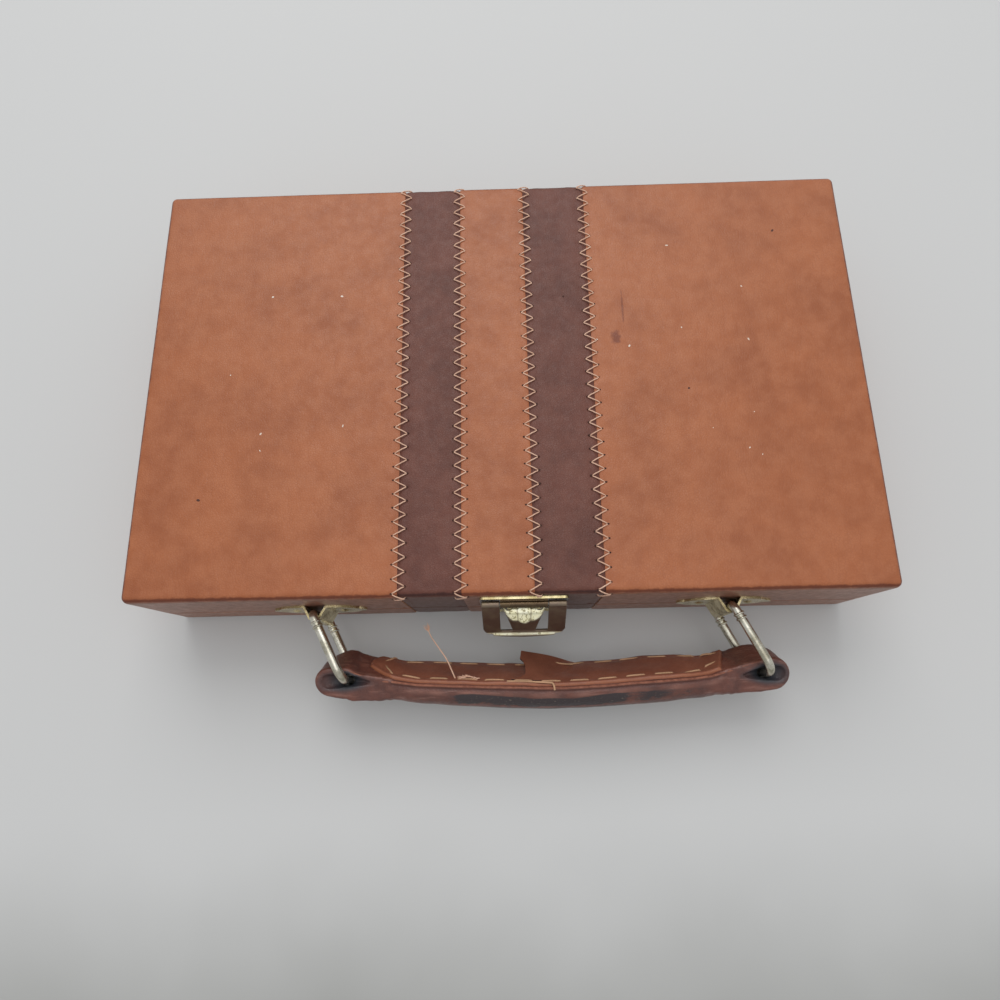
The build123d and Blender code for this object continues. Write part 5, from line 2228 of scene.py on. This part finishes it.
            # The groove under the rolled edge: pressed in a little, and given painted shade.
            groove = bell(outside - 1.15, 0.45) * smooth_step(abs(n.z), 0.3, 0.7) * on_grip
            ragged = p.z + 0.9 * noise.noise(p * 0.4) + 0.4 * noise.noise(p * 1.3)
            upper = smooth_step(ragged, 7.0, 8.5) * (1 - smooth_step(p.z, 9.2, 9.45))
            along = smooth_step(p.x, -42.0, -26.0) * (1 - 0.5 * smooth_step(p.x, 18.0, 28.0))
            along *= 1 - smooth_step(p.x, 52.0, 62.0)
            patch = 1.0 + 0.9 * noise.noise(Vector((p.x * 0.09, p.z * 0.3, 3.0)))
            band = upper * along * smooth_step(outside, 2.2, 3.6) * patch
            crown = 0.6 * smooth_step(outside, 7.0, 9.0) * (1 - smooth_step(away, 20.0, 36.0))
            fold = math.sin(away * 1.9 + 4 * noise.noise(p * 0.2)) * bell(away - 58.0, 5.0)
            lump = noise.noise(p * 0.14 + Vector((0.0, 5.0, 2.0))) * 0.32
            press = (lump + 0.12 * fold) * smooth_step(gap, 0.5, 2.5) - 0.35 * groove - 0.1 * band
            moved.append((p, n, press))
            for name, value in zip(names, (ridge, max(band, crown), hollow, groove * 0.85)):
                marks[name].append(min(1.0, max(0.0, value)))
        for vertex, (p, n, press) in zip(mesh.vertices, moved):
            vertex.co = (self.place @ (p + n * press)) * METRES_PER_MM
        for name, values in marks.items():
            store_numbers(mesh, name, values)
        mesh.update()

    def search_tree(self, piece: bpy.types.Object) -> BVHTree:
        """A search tree of the cover in the handle's own frame."""
        inverse = self.place.inverted()
        points = [inverse @ (v.co * MM_PER_METRE) for v in piece.data.vertices]
        return BVHTree.FromPolygons(points, [tuple(f.vertices) for f in piece.data.polygons])

    def seat(self, tree: BVHTree, x: float, z: float) -> float:
        """Where the cover's case side lies at x and z."""
        room = self.half_width(x) - 1.1
        inner = min(room, max(-room, z))
        spots = []
        for shift in (-2.4, -1.2, 0.0, 1.2, 2.4):
            start = Vector((x + shift, 20.0, inner))
            hit = tree.ray_cast(start, Vector((0.0, -1.0, 0.0)))[0]
            spots.append(hit.y if hit is not None else self.face_y(x, z))
        slope = (eased(self.ridge_face, x) - eased(self.low_face, x)) / (2 * self.half_width(x))
        return max(sum(spots) / len(spots), spots[2]) + (z - inner) * slope + 0.05

    def facing_span(self, x: float) -> tuple[float, float]:
        """The lowest and highest edge of the facing at x."""
        half = self.half_width(x)
        low = self.low_margin - half
        low *= smooth_step(x, self.facing_tip - 1.5, self.facing_tip + 4.0)
        high_full = half - self.high_margin
        point = (x - self.facing_tip) / 9.0
        high = min(high_full, 0.4 + high_full * min(1.0, max(0.0, point)) ** 0.9)
        return min(low, 0.0), high

    def facing(self, tree: BVHTree, finishes: Finishes) -> None:
        """The flat strip sewn over the grip's case side."""
        rows, columns = 18, 160
        top_grid: list[list[Vector]] = []
        under_grid: list[list[Vector]] = []
        edges: list[list[float]] = []
        for i in range(columns + 1):
            base = self.facing_tip + (self.facing_end - self.facing_tip) * i / columns
            low, high = self.facing_span(base)
            top_row, under_row, edge_row = [], [], []
            for j in range(rows + 1):
                share = 0.5 - 0.5 * math.cos(math.pi * j / rows)
                z = low + (high - low) * share
                x = base + self.facing_slant * z * smooth_step(base, 40.0, self.facing_end)
                y = self.seat(tree, x, z)
                ends = min(base - self.facing_tip, self.facing_end - base)
                border = min(z - low, high - z, ends)
                round_off = 1 - math.sqrt(max(0.0, 1 - (1 - min(1.0, border / 0.7)) ** 2))
                sewn = bell(z - low - self.low_row, 0.7) + bell(high - z - self.high_row, 0.8)
                wave = 0.15 * noise.noise(Vector((x * 0.1, z * 0.2, 4.0)))
                thick = self.facing_thickness * (1 - 0.8 * round_off) - 0.2 * sewn + wave
                top_row.append(self.world(x, y + thick, z))
                under_row.append(self.world(x, y - 0.3, z))
                # The edge mark: wear, and a painted highlight on the lit top edge.
                edge_row.append(max(0.8 * bell(high - z, 0.5), 0.5 * bell(min(z - low, ends), 0.5)))
            top_grid.append(top_row)
            under_grid.append(under_row)
            edges.append(edge_row)
        draft = Draft()
        draft.slab(top_grid, under_grid, edges)
        piece = draft.piece("handle_facing_strip", Body.HANDLE, [finishes.facing], 60)
        finish_as(piece, Slot.HANDLE, "handle_facing")
        self.stitch_facing(tree, finishes)
        log.info("handle facing")

    def stitch_facing(self, tree: BVHTree, finishes: Finishes) -> None:
        """The row of stitches round the facing."""
        end = self.facing_end - 2.4
        tip = self.facing_tip + 3.0
        corners = [
            (end, "low"),
            (tip + 3.6, "low"),
            (tip, "middle"),
            (tip + 8.5, "high"),
            (end - 4.0, "high"),
            (end - 0.2, "middle"),
        ]
        path: list[Vector] = []
        for (x0, row0), (x1, row1) in zip(corners, corners[1:]):
            steps = max(3, int(abs(x1 - x0) / 1.5))
            for i in range(steps):
                share = i / steps
                x = x0 + (x1 - x0) * share
                z = self.row_z(x, row0) * (1 - share) + self.row_z(x, row1) * share
                y = self.seat(tree, x, z) + self.facing_thickness - 0.1
                path.append(self.world(x, y, z))
        stitches = repeat_along(
            "facing_stitches",
            dash_tree(),
            [path],
            {"Pitch": self.stitch_pitch * METRES_PER_MM, "Material": finishes.tan_thread},
        )
        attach(stitches, Body.HANDLE.value)

    def row_z(self, x: float, row: str) -> float:
        """The height of a row of stitches at x."""
        low, high = self.facing_span(x)
        if row == "low":
            return low + self.low_row
        return high - self.high_row if row == "high" else 0.4

    def flap(self, finishes: Finishes) -> None:
        """A torn flap of the facing that stands up at its corner."""
        columns, rows = 26, 20
        top_grid, under_grid = [], []
        for i in range(columns + 1):
            u = i / columns
            top_row, under_row = [], []
            for j in range(rows + 1):
                v = j / rows
                left = eased(self.tear, v) + 0.25 * noise.noise(Vector((v * 9, 1.0, 2.0)))
                x = left + (self.flap_hinge - left) * u
                z = self.flap_low + self.flap_height * v
                lift = 4.3 * (1 - u) ** 1.7 * (1 - v) ** 1.5 + 0.45 * (1 - u) ** 1.2
                curl = 1.3 * math.sin(math.pi * u) * max(0.0, 1 - v / 0.55) ** 1.5
                y = self.face_y(x, z) + self.facing_thickness * 0.9 + lift + curl - 0.6 * u**3
                border = min(u * 3, v * 3, (1 - v) * 3)
                thick = 0.85 * min(1.0, 0.55 + border * 3)
                lean = 0.25 * lift
                top_row.append(self.world(x, y, z + lean))
                under_row.append(self.world(x + 0.1, y - thick, z + lean))
            top_grid.append(top_row)
            under_grid.append(under_row)
        draft = Draft()
        draft.slab(top_grid, under_grid, rim=1)
        strip = [self.world(x, self.face_y(x, z) + up, z) for x, z, up in self.strip_route]
        fold = [self.world(x, self.face_y(x, z) + 2.2 - 0.08 * x, z) for x, z in self.fold_route]
        for stops, radius in ((strip, 0.34), (fold, 0.3)):
            path = self.rounded(stops, 4)
            draft.tube(path, [radius] * len(path), 6, kind=2)
        # The flap's cut edges take a dark material: painted shade.
        materials = [finishes.facing, finishes.torn, finishes.tan_thread]
        finish_as(draft.piece("torn_flap", Body.HANDLE, materials, 70), Slot.HANDLE)
        log.info("torn flap")

    def loose_thread(self, finishes: Finishes) -> None:
        """A stitch that has come out and stands up, frayed at its tip and its root."""
        x, y, row_at = self.thread_root
        z = self.row_z(row_at, "high")
        path = self.rounded([self.world(*p) for p in ((x, y, z), *self.thread_route)], 6)
        draft = Draft()
        draft.tube(path, [0.3 - 0.004 * i for i in range(len(path))], 6)
        draws = random.Random(23)
        tip = path[-1]
        ahead = (path[-1] - path[-3]).normalized()
        for _ in range(self.tip_hairs):
            sway = Vector([draws.uniform(-1, 1) for _ in range(3)])
            end = tip + (ahead + sway * 0.5).normalized() * draws.uniform(1.4, 2.8)
            bend = tip.lerp(end, 0.5) + sway * 0.25
            draft.tube([tip - ahead * 0.6, bend, end], [0.14, 0.1, 0.05], 5)
        for i in range(self.root_hairs):
            x = -33.2 + 6.6 * i / (self.root_hairs - 1)
            swell = math.sin(math.pi * (i + 0.5) / self.root_hairs)
            up = self.face_y(x, z) + 1.1 + 0.9 * swell
            start = self.world(x, up, z + draws.uniform(-0.3, 0.3))
            aside, outwards = draws.uniform(-1.6, 1.6), draws.uniform(-0.3, 0.8)
            end = start + Vector((aside, outwards, draws.uniform(0.0, 0.9) * swell))
            bend = start.lerp(end, 0.5) + Vector((0, 0, 0.25 * swell))
            draft.tube([start, bend, end], [0.24, 0.2, 0.07], 5)
        piece = draft.piece("loose_thread", Body.HANDLE, [finishes.thread], 70)
        log.info("thread end %s", piece.name)

    @staticmethod
    def rounded(points: Sequence[Vector], steps: int) -> list[Vector]:
        """A smooth line through a few points."""
        result = []
        for i in range(len(points) - 1):
            before = points[max(i - 1, 0)]
            a, b = points[i], points[i + 1]
            after = points[min(i + 2, len(points) - 1)]
            for k in range(steps):
                t = k / steps
                square = 2 * before - 5 * a + 4 * b - after
                cube = 3 * a - before - 3 * b + after
                result.append(0.5 * (2 * a + (b - before) * t + square * t * t + cube * t**3))
        return result + [points[-1]]


# ----------------------------------------------------------------------- the latch


@dataclass
class Hasp:
    """The pressed hasp: two arms, a fluted thumb fan and a curled lip."""

    rest_angle: float = 25.0
    half: float = 14.1
    arm: float = 6.0
    length: float = 18.0
    foot: float = 2.2
    corner: float = 4.0
    sheet: float = 0.9
    middle: float = 0.65
    knuckle: float = 1.2
    fan_top: float = 1.7
    fan_half: float = 6.9
    fan_foot_half: float = 3.9
    belly_at: float = 4.9
    belly_drop: float = 2.1
    belly: float = 2.6
    fall: float = 6.5
    flute: float = 0.75
    fan_sheet: float = 0.5
    hook_room: float = 1.35
    lip: float = 0.9
    columns: int = 30
    rows: int = 36
    knuckle_sides: int = 20
    lip_steps: int = 32
    voxel: float = 0.2
    pin: Vector = field(init=False)

    def __post_init__(self) -> None:
        """Read where the hasp's pin is."""
        self.pin = joint_anchor("hasp_hinge")

    def at(self, x: float, down: float, out: float) -> Vector:
        """A point by its place across the hasp, down its sheet and out of it."""
        turn = math.radians(self.rest_angle)
        y = -down * math.sin(turn) - out * math.cos(turn)
        z = -down * math.cos(turn) + out * math.sin(turn)
        return self.pin + Vector((x, y, z))

    def sheet_grid(
        self,
        draft: Draft,
        border: Callable[[float, float], float],
        top: Callable[[float], float],
        foot: float,
        out: Callable[[float, float], float],
        thickness: float,
    ) -> None:
        """Add a sheet whose borders and bulge are given by functions.

        Args:
            draft: the mesh in the making.
            border: the place across, by the share across and the distance down.
            top: the upper border, by the share across.
            foot: the lower border.
            out: how far the sheet stands out, by place across and down.
            thickness: the sheet's thickness.
        """
        rows = self.rows
        faces, backs = [], []
        for i in range(self.columns + 1):
            share = i / self.columns
            face_row, back_row = [], []
            for j in range(rows + 1):
                down = top(share) + (foot - top(share)) * j / rows
                x = border(share, down)
                stand = out(x, down)
                face_row.append(self.at(x, down, stand + thickness / 2))
                back_row.append(self.at(x, down, stand - thickness / 2))
            faces.append(face_row)
            backs.append(back_row)
        draft.slab(faces, backs)

    def outline(self, down: float) -> float:
        """Half of the hasp's width, rounded at its lower corners."""
        past = max(0.0, down - (self.length - self.corner))
        round_off = self.corner - math.sqrt(max(0.0, self.corner**2 - past**2))
        return self.half - round_off * 0.9

    def belly_line(self, across: float) -> float:
        """How far down the fan stands out most, by the share across."""
        return self.belly_at - self.belly_drop * across**2

    def lobe(self, x: float, down: float) -> float:
        """The crown of the three flutes, from 0 in a groove to 1 on a lobe."""
        place = (x / self.fan_width(down) + 1) * 1.5
        part = place - math.floor(min(2.999, max(0.0, place)))
        return max(0.0, 1 - (2 * part - 1) ** 2)

    def fan_out(self, x: float, down: float) -> float:
        """How far the fan bulges at a place."""
        across = min(1.0, abs(x) / self.fan_width(down))
        line = self.belly_line(across)
        rise = min(1.0, max(0.0, (down - self.fan_top + 0.3) / (line - self.fan_top + 0.3)))
        fall = 1 - smooth_step(down, line, line + self.fall)
        height = self.belly * (1 - across**2) ** 0.7 + 0.5
        share = rise * fall if down > line else rise
        fluting = self.flute * (self.lobe(x, down) - 0.6) * min(share, fall)
        stand = self.middle + height * share + fluting
        room = smooth_step(down, self.fan_top - 0.6, self.fan_top + 0.5)
        room *= 1 - smooth_step(down, 3.9, 6.5)
        room *= 1 - smooth_step(across, 0.86, 0.97)
        return max(stand, self.middle + self.hook_room * room)

    def fan_width(self, down: float) -> float:
        """Half of the fan's width."""
        share = (down - self.fan_top) / (self.length - self.foot - self.fan_top)
        return self.fan_half + (self.fan_foot_half - self.fan_half) * min(1.0, max(0.0, share))

    def fan_edge(self, share: float) -> float:
        """The scalloped upper border of the fan, with an ear at each end."""
        across = abs(2 * share - 1)
        middle = 0.5 * (1 - smooth_step(across, 0.28, 0.38))
        flank = 0.35 * smooth_step(across, 0.36, 0.44) * (1 - smooth_step(across, 0.45, 0.75))
        ear = 0.75 * smooth_step(across, 0.86, 1.0)
        return self.fan_top - middle - flank - ear

    def shade_and_patina_mask(self, point: Vector) -> float:
        """How much painted shade and patina a point gets, from 0 to 1, less where the lip has a painted highlight.
        """
        turn = math.radians(self.rest_angle)
        away = point - self.pin
        down = -away.y * math.sin(turn) - away.z * math.cos(turn)
        out = -away.y * math.cos(turn) + away.z * math.sin(turn)
        across = abs(away.x) / self.fan_width(down)
        # Painted highlight along the top of the lip.
        lip_highlight = bell(down - self.length + 0.9, 0.5)
        if across < 1.15 and down > 0.4 and out > self.middle - 0.6:
            rough = 0.6 * noise.noise(point * 1.6)
            line = self.belly_line(min(1.0, across))
            # Painted shade on the fan's lower part, which faces down and away from the light.
            lower = smooth_step(down + rough, line - 0.4, line + 1.0)
            # Patina in the grooves between the flutes.
            grooves = 0.75 * (1 - smooth_step(self.lobe(away.x, down), 0.0, 0.3))
            grooves *= 1 - smooth_step(across, 0.7, 0.8)
            return max(0.0, max(lower, grooves) - lip_highlight * 0.8)
        # Painted shade over the arms and the rest of the sheet, lifted along the lip by its painted highlight.
        return 1 - lip_highlight * smooth_step(down, self.length - 2.2, self.length - 1.2)

    def build(self, finishes: Finishes) -> None:
        """Press the hasp out of sheet and merge it into one skin."""
        inner = self.half - self.arm
        draft = Draft()
        for side in (-1, 1):
            self.arm_sheet(draft, side, inner)
            draft.sweep([self.knuckle_ring(x) for x in sorted((side * inner, side * self.half))])
        self.sheet_grid(
            draft,
            lambda share, down: (2 * share - 1) * self.outline(down),
            lambda share: self.length - self.foot,
            self.length - 0.3,
            lambda x, down: self.middle,
            self.sheet,
        )
        self.sheet_grid(
            draft,
            lambda share, down: (2 * share - 1) * self.fan_width(down),
            self.fan_edge,
            self.length - self.foot + 0.8,
            self.fan_out,
            self.fan_sheet,
        )
        lip_half = self.half - self.corner + 0.6
        path, radii = [], []
        for i in range(self.lip_steps + 1):
            share = i / self.lip_steps
            swell = max(0.0, math.sin(math.pi * share))
            x = -lip_half + 2 * lip_half * share
            path.append(self.at(x, self.length - 0.4 + 0.5 * swell, self.middle + 0.4))
            radii.append(self.lip * (0.6 + 0.4 * swell**0.5))
        draft.tube(path, radii, 14)
        piece = draft.piece("hasp_pressing", Body.HASP, [finishes.hasp_brass], 180.0)
        merge_skin(piece, self.voxel, 3)
        # Store the painted shade and patina of each point.
        shade_and_patina = [self.shade_and_patina_mask(v.co * MM_PER_METRE) for v in piece.data.vertices]
        store_numbers(piece.data, "shade_and_patina", shade_and_patina)
        finish_as(piece, Slot.BRASS, "latch_hasp")
        log.info("hasp")

    def knuckle_ring(self, x: float) -> list[Vector]:
        """A ring of the rolled knuckle round the pin, at a place across."""
        turns = [math.tau * k / self.knuckle_sides for k in range(self.knuckle_sides)]
        return [self.at(x, self.knuckle * math.sin(t), self.knuckle * math.cos(t)) for t in turns]

    def arm_sheet(self, draft: Draft, side: int, inner: float) -> None:
        """One of the hasp's two arms.

        Args:
            draft: the mesh in the making.
            side: -1 for the left arm, 1 for the right one.
            inner: how far the arm's inner edge lies from the middle.
        """

        def border(share: float, down: float) -> float:
            part = share if side > 0 else 1 - share
            return side * (inner + (self.outline(down) - inner) * part)

        foot = self.length - 0.6
        self.sheet_grid(
            draft, border, lambda share: 0.0, foot, lambda x, down: self.middle, self.sheet
        )


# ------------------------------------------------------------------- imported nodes


class Hardware:
    """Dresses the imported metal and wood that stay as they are."""

    def dress(self, finishes: Finishes) -> None:
        """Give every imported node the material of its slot."""
        by_slot = {
            Slot.TAN: finishes.tan,
            Slot.BROWN: finishes.brown,
            Slot.HANDLE: finishes.grip,
            Slot.FELT: finishes.felt,
            Slot.PLYWOOD: finishes.plywood,
            Slot.BOARD: finishes.board,
            Slot.CORE: finishes.core,
            Slot.BRASS: finishes.brass,
            Slot.WIRE: finishes.wire,
            Slot.PIN: finishes.steel,
        }
        slots = {row["node"]: Slot(row["material_slot"]) for row in frame["record"]["subparts"]}
        own = {"latch_plate": finishes.latch_brass}
        for name, node in frame["nodes"].items():
            material = own.get(name, by_slot[slots[name]])
            if not node.material_slots:
                node.data.materials.append(material)
            for slot in node.material_slots:
                slot.material = material
        log.info("packed nodes dressed")


# ------------------------------------------------------------------------- studio


@dataclass
class Studio:
    """The pale table, the soft lights and the camera."""

    lens: float = 24.563
    sensor: float = 36.0
    location: Point = (1.957, -107.216, 266.905)
    turn: Point = (15.4368859, 1.3604292, -1.3985386)
    # Painted shade: the table's darker colour at the front, where the window light falls off.
    near_shaded_colour: Colour = display(154, 154, 150)
    far_colour: Colour = display(207, 207, 206)
    near_y: float = -232.0
    far_y: float = -128.0
    table_half: float = 1.6
    sky: Colour = display(226, 228, 230)
    sky_strength: float = 0.68

    def build(self) -> None:
        """Set the table, lights, world and camera."""
        self.table()
        self.lights()
        self.camera()
        scene = bpy.context.scene
        scene.view_settings.view_transform = "Standard"
        log.info("studio")

    def table(self) -> None:
        """A pale table under the case, with painted shade that darkens it towards the front."""
        mesh = bpy.data.meshes.new("table")
        corners = [
            (self.table_half * sx, self.table_half * sy, 0.0)
            for sx, sy in ((-1, -1), (1, -1), (1, 1), (-1, 1))
        ]
        mesh.from_pydata([Vector(c) for c in corners], [], [(0, 1, 2, 3)])
        table = bpy.data.objects.new("table", mesh)
        material, graph, shader, place = start_material("table top")
        clouds = graph.noise(place, 0.01, 3.0)
        _, y, _ = graph.split(place)
        drifting = graph.math("MULTIPLY_ADD", clouds, 40.0, y)
        # Painted shade: the table darkens towards the front, away from the window light.
        depth = graph.ramp(drifting, self.near_y, self.far_y)
        coat(graph, shader, graph.mix(depth, self.near_shaded_colour, self.far_colour), 0.7)
        shader.inputs["Specular IOR Level"].default_value = 0.2
        mesh.materials.append(material)
        bpy.context.scene.collection.objects.link(table)

    def lamp(self, name: str, place: Point, size: float, power: float) -> None:
        """One soft square light that faces the middle of the table.

        Args:
            name: the light's name.
            place: where it stands, in metres.
            size: its side, in metres.
            power: its power in watts.
        """
        data = bpy.data.lights.new(name, "AREA")
        data.shape = "SQUARE"
        data.size = size
        data.energy = power
        lamp = bpy.data.objects.new(name, data)
        lamp.location = place
        lamp.rotation_mode = "QUATERNION"
        lamp.rotation_quaternion = (-Vector(place)).to_track_quat("-Z", "Y")
        bpy.context.scene.collection.objects.link(lamp)

    def lights(self) -> None:
        """A broad window light from behind, a soft ceiling light and a pale world."""
        self.lamp("window", (-0.1, 0.75, 1.05), size=0.9, power=6.5)
        self.lamp("ceiling", (0.1, -0.1, 1.3), size=1.2, power=3.6)
        world = bpy.data.worlds.new("room")
        world.use_nodes = True
        background = world.node_tree.nodes["Background"]
        background.inputs["Color"].default_value = self.sky
        background.inputs["Strength"].default_value = self.sky_strength
        bpy.context.scene.world = world

    def camera(self) -> None:
        """The camera at the photograph's viewing angle."""
        data = bpy.data.cameras.new("camera")
        data.lens = self.lens
        data.sensor_width = self.sensor
        data.clip_start = 0.01
        data.clip_end = 10.0
        camera = bpy.data.objects.new("camera", data)
        rx, ry, rz = (math.radians(a) for a in self.turn)
        pitched = Matrix.Rotation(rx, 4, "X") @ Matrix.Rotation(ry, 4, "Y")
        place = Matrix.Translation(Vector(self.location) * METRES_PER_MM)
        camera.matrix_world = place @ Matrix.Rotation(rz, 4, "Z") @ pitched
        bpy.context.scene.collection.objects.link(camera)
        bpy.context.scene.camera = camera


def main() -> None:
    """Build every piece of the case."""
    logging.basicConfig(level=logging.INFO, format="%(message)s")
    finishes = Finishes()
    Hardware().dress(finishes)
    LeatherShell(Half.LID).build(finishes)
    LeatherShell(Half.BASE).build(finishes)
    Marks().build(finishes)
    Tray().build(finishes)
    LidLining().build(finishes)
    Handle().build(finishes)
    Hasp().build(finishes)
    Studio().build()


if __name__ == "__main__":
    main()
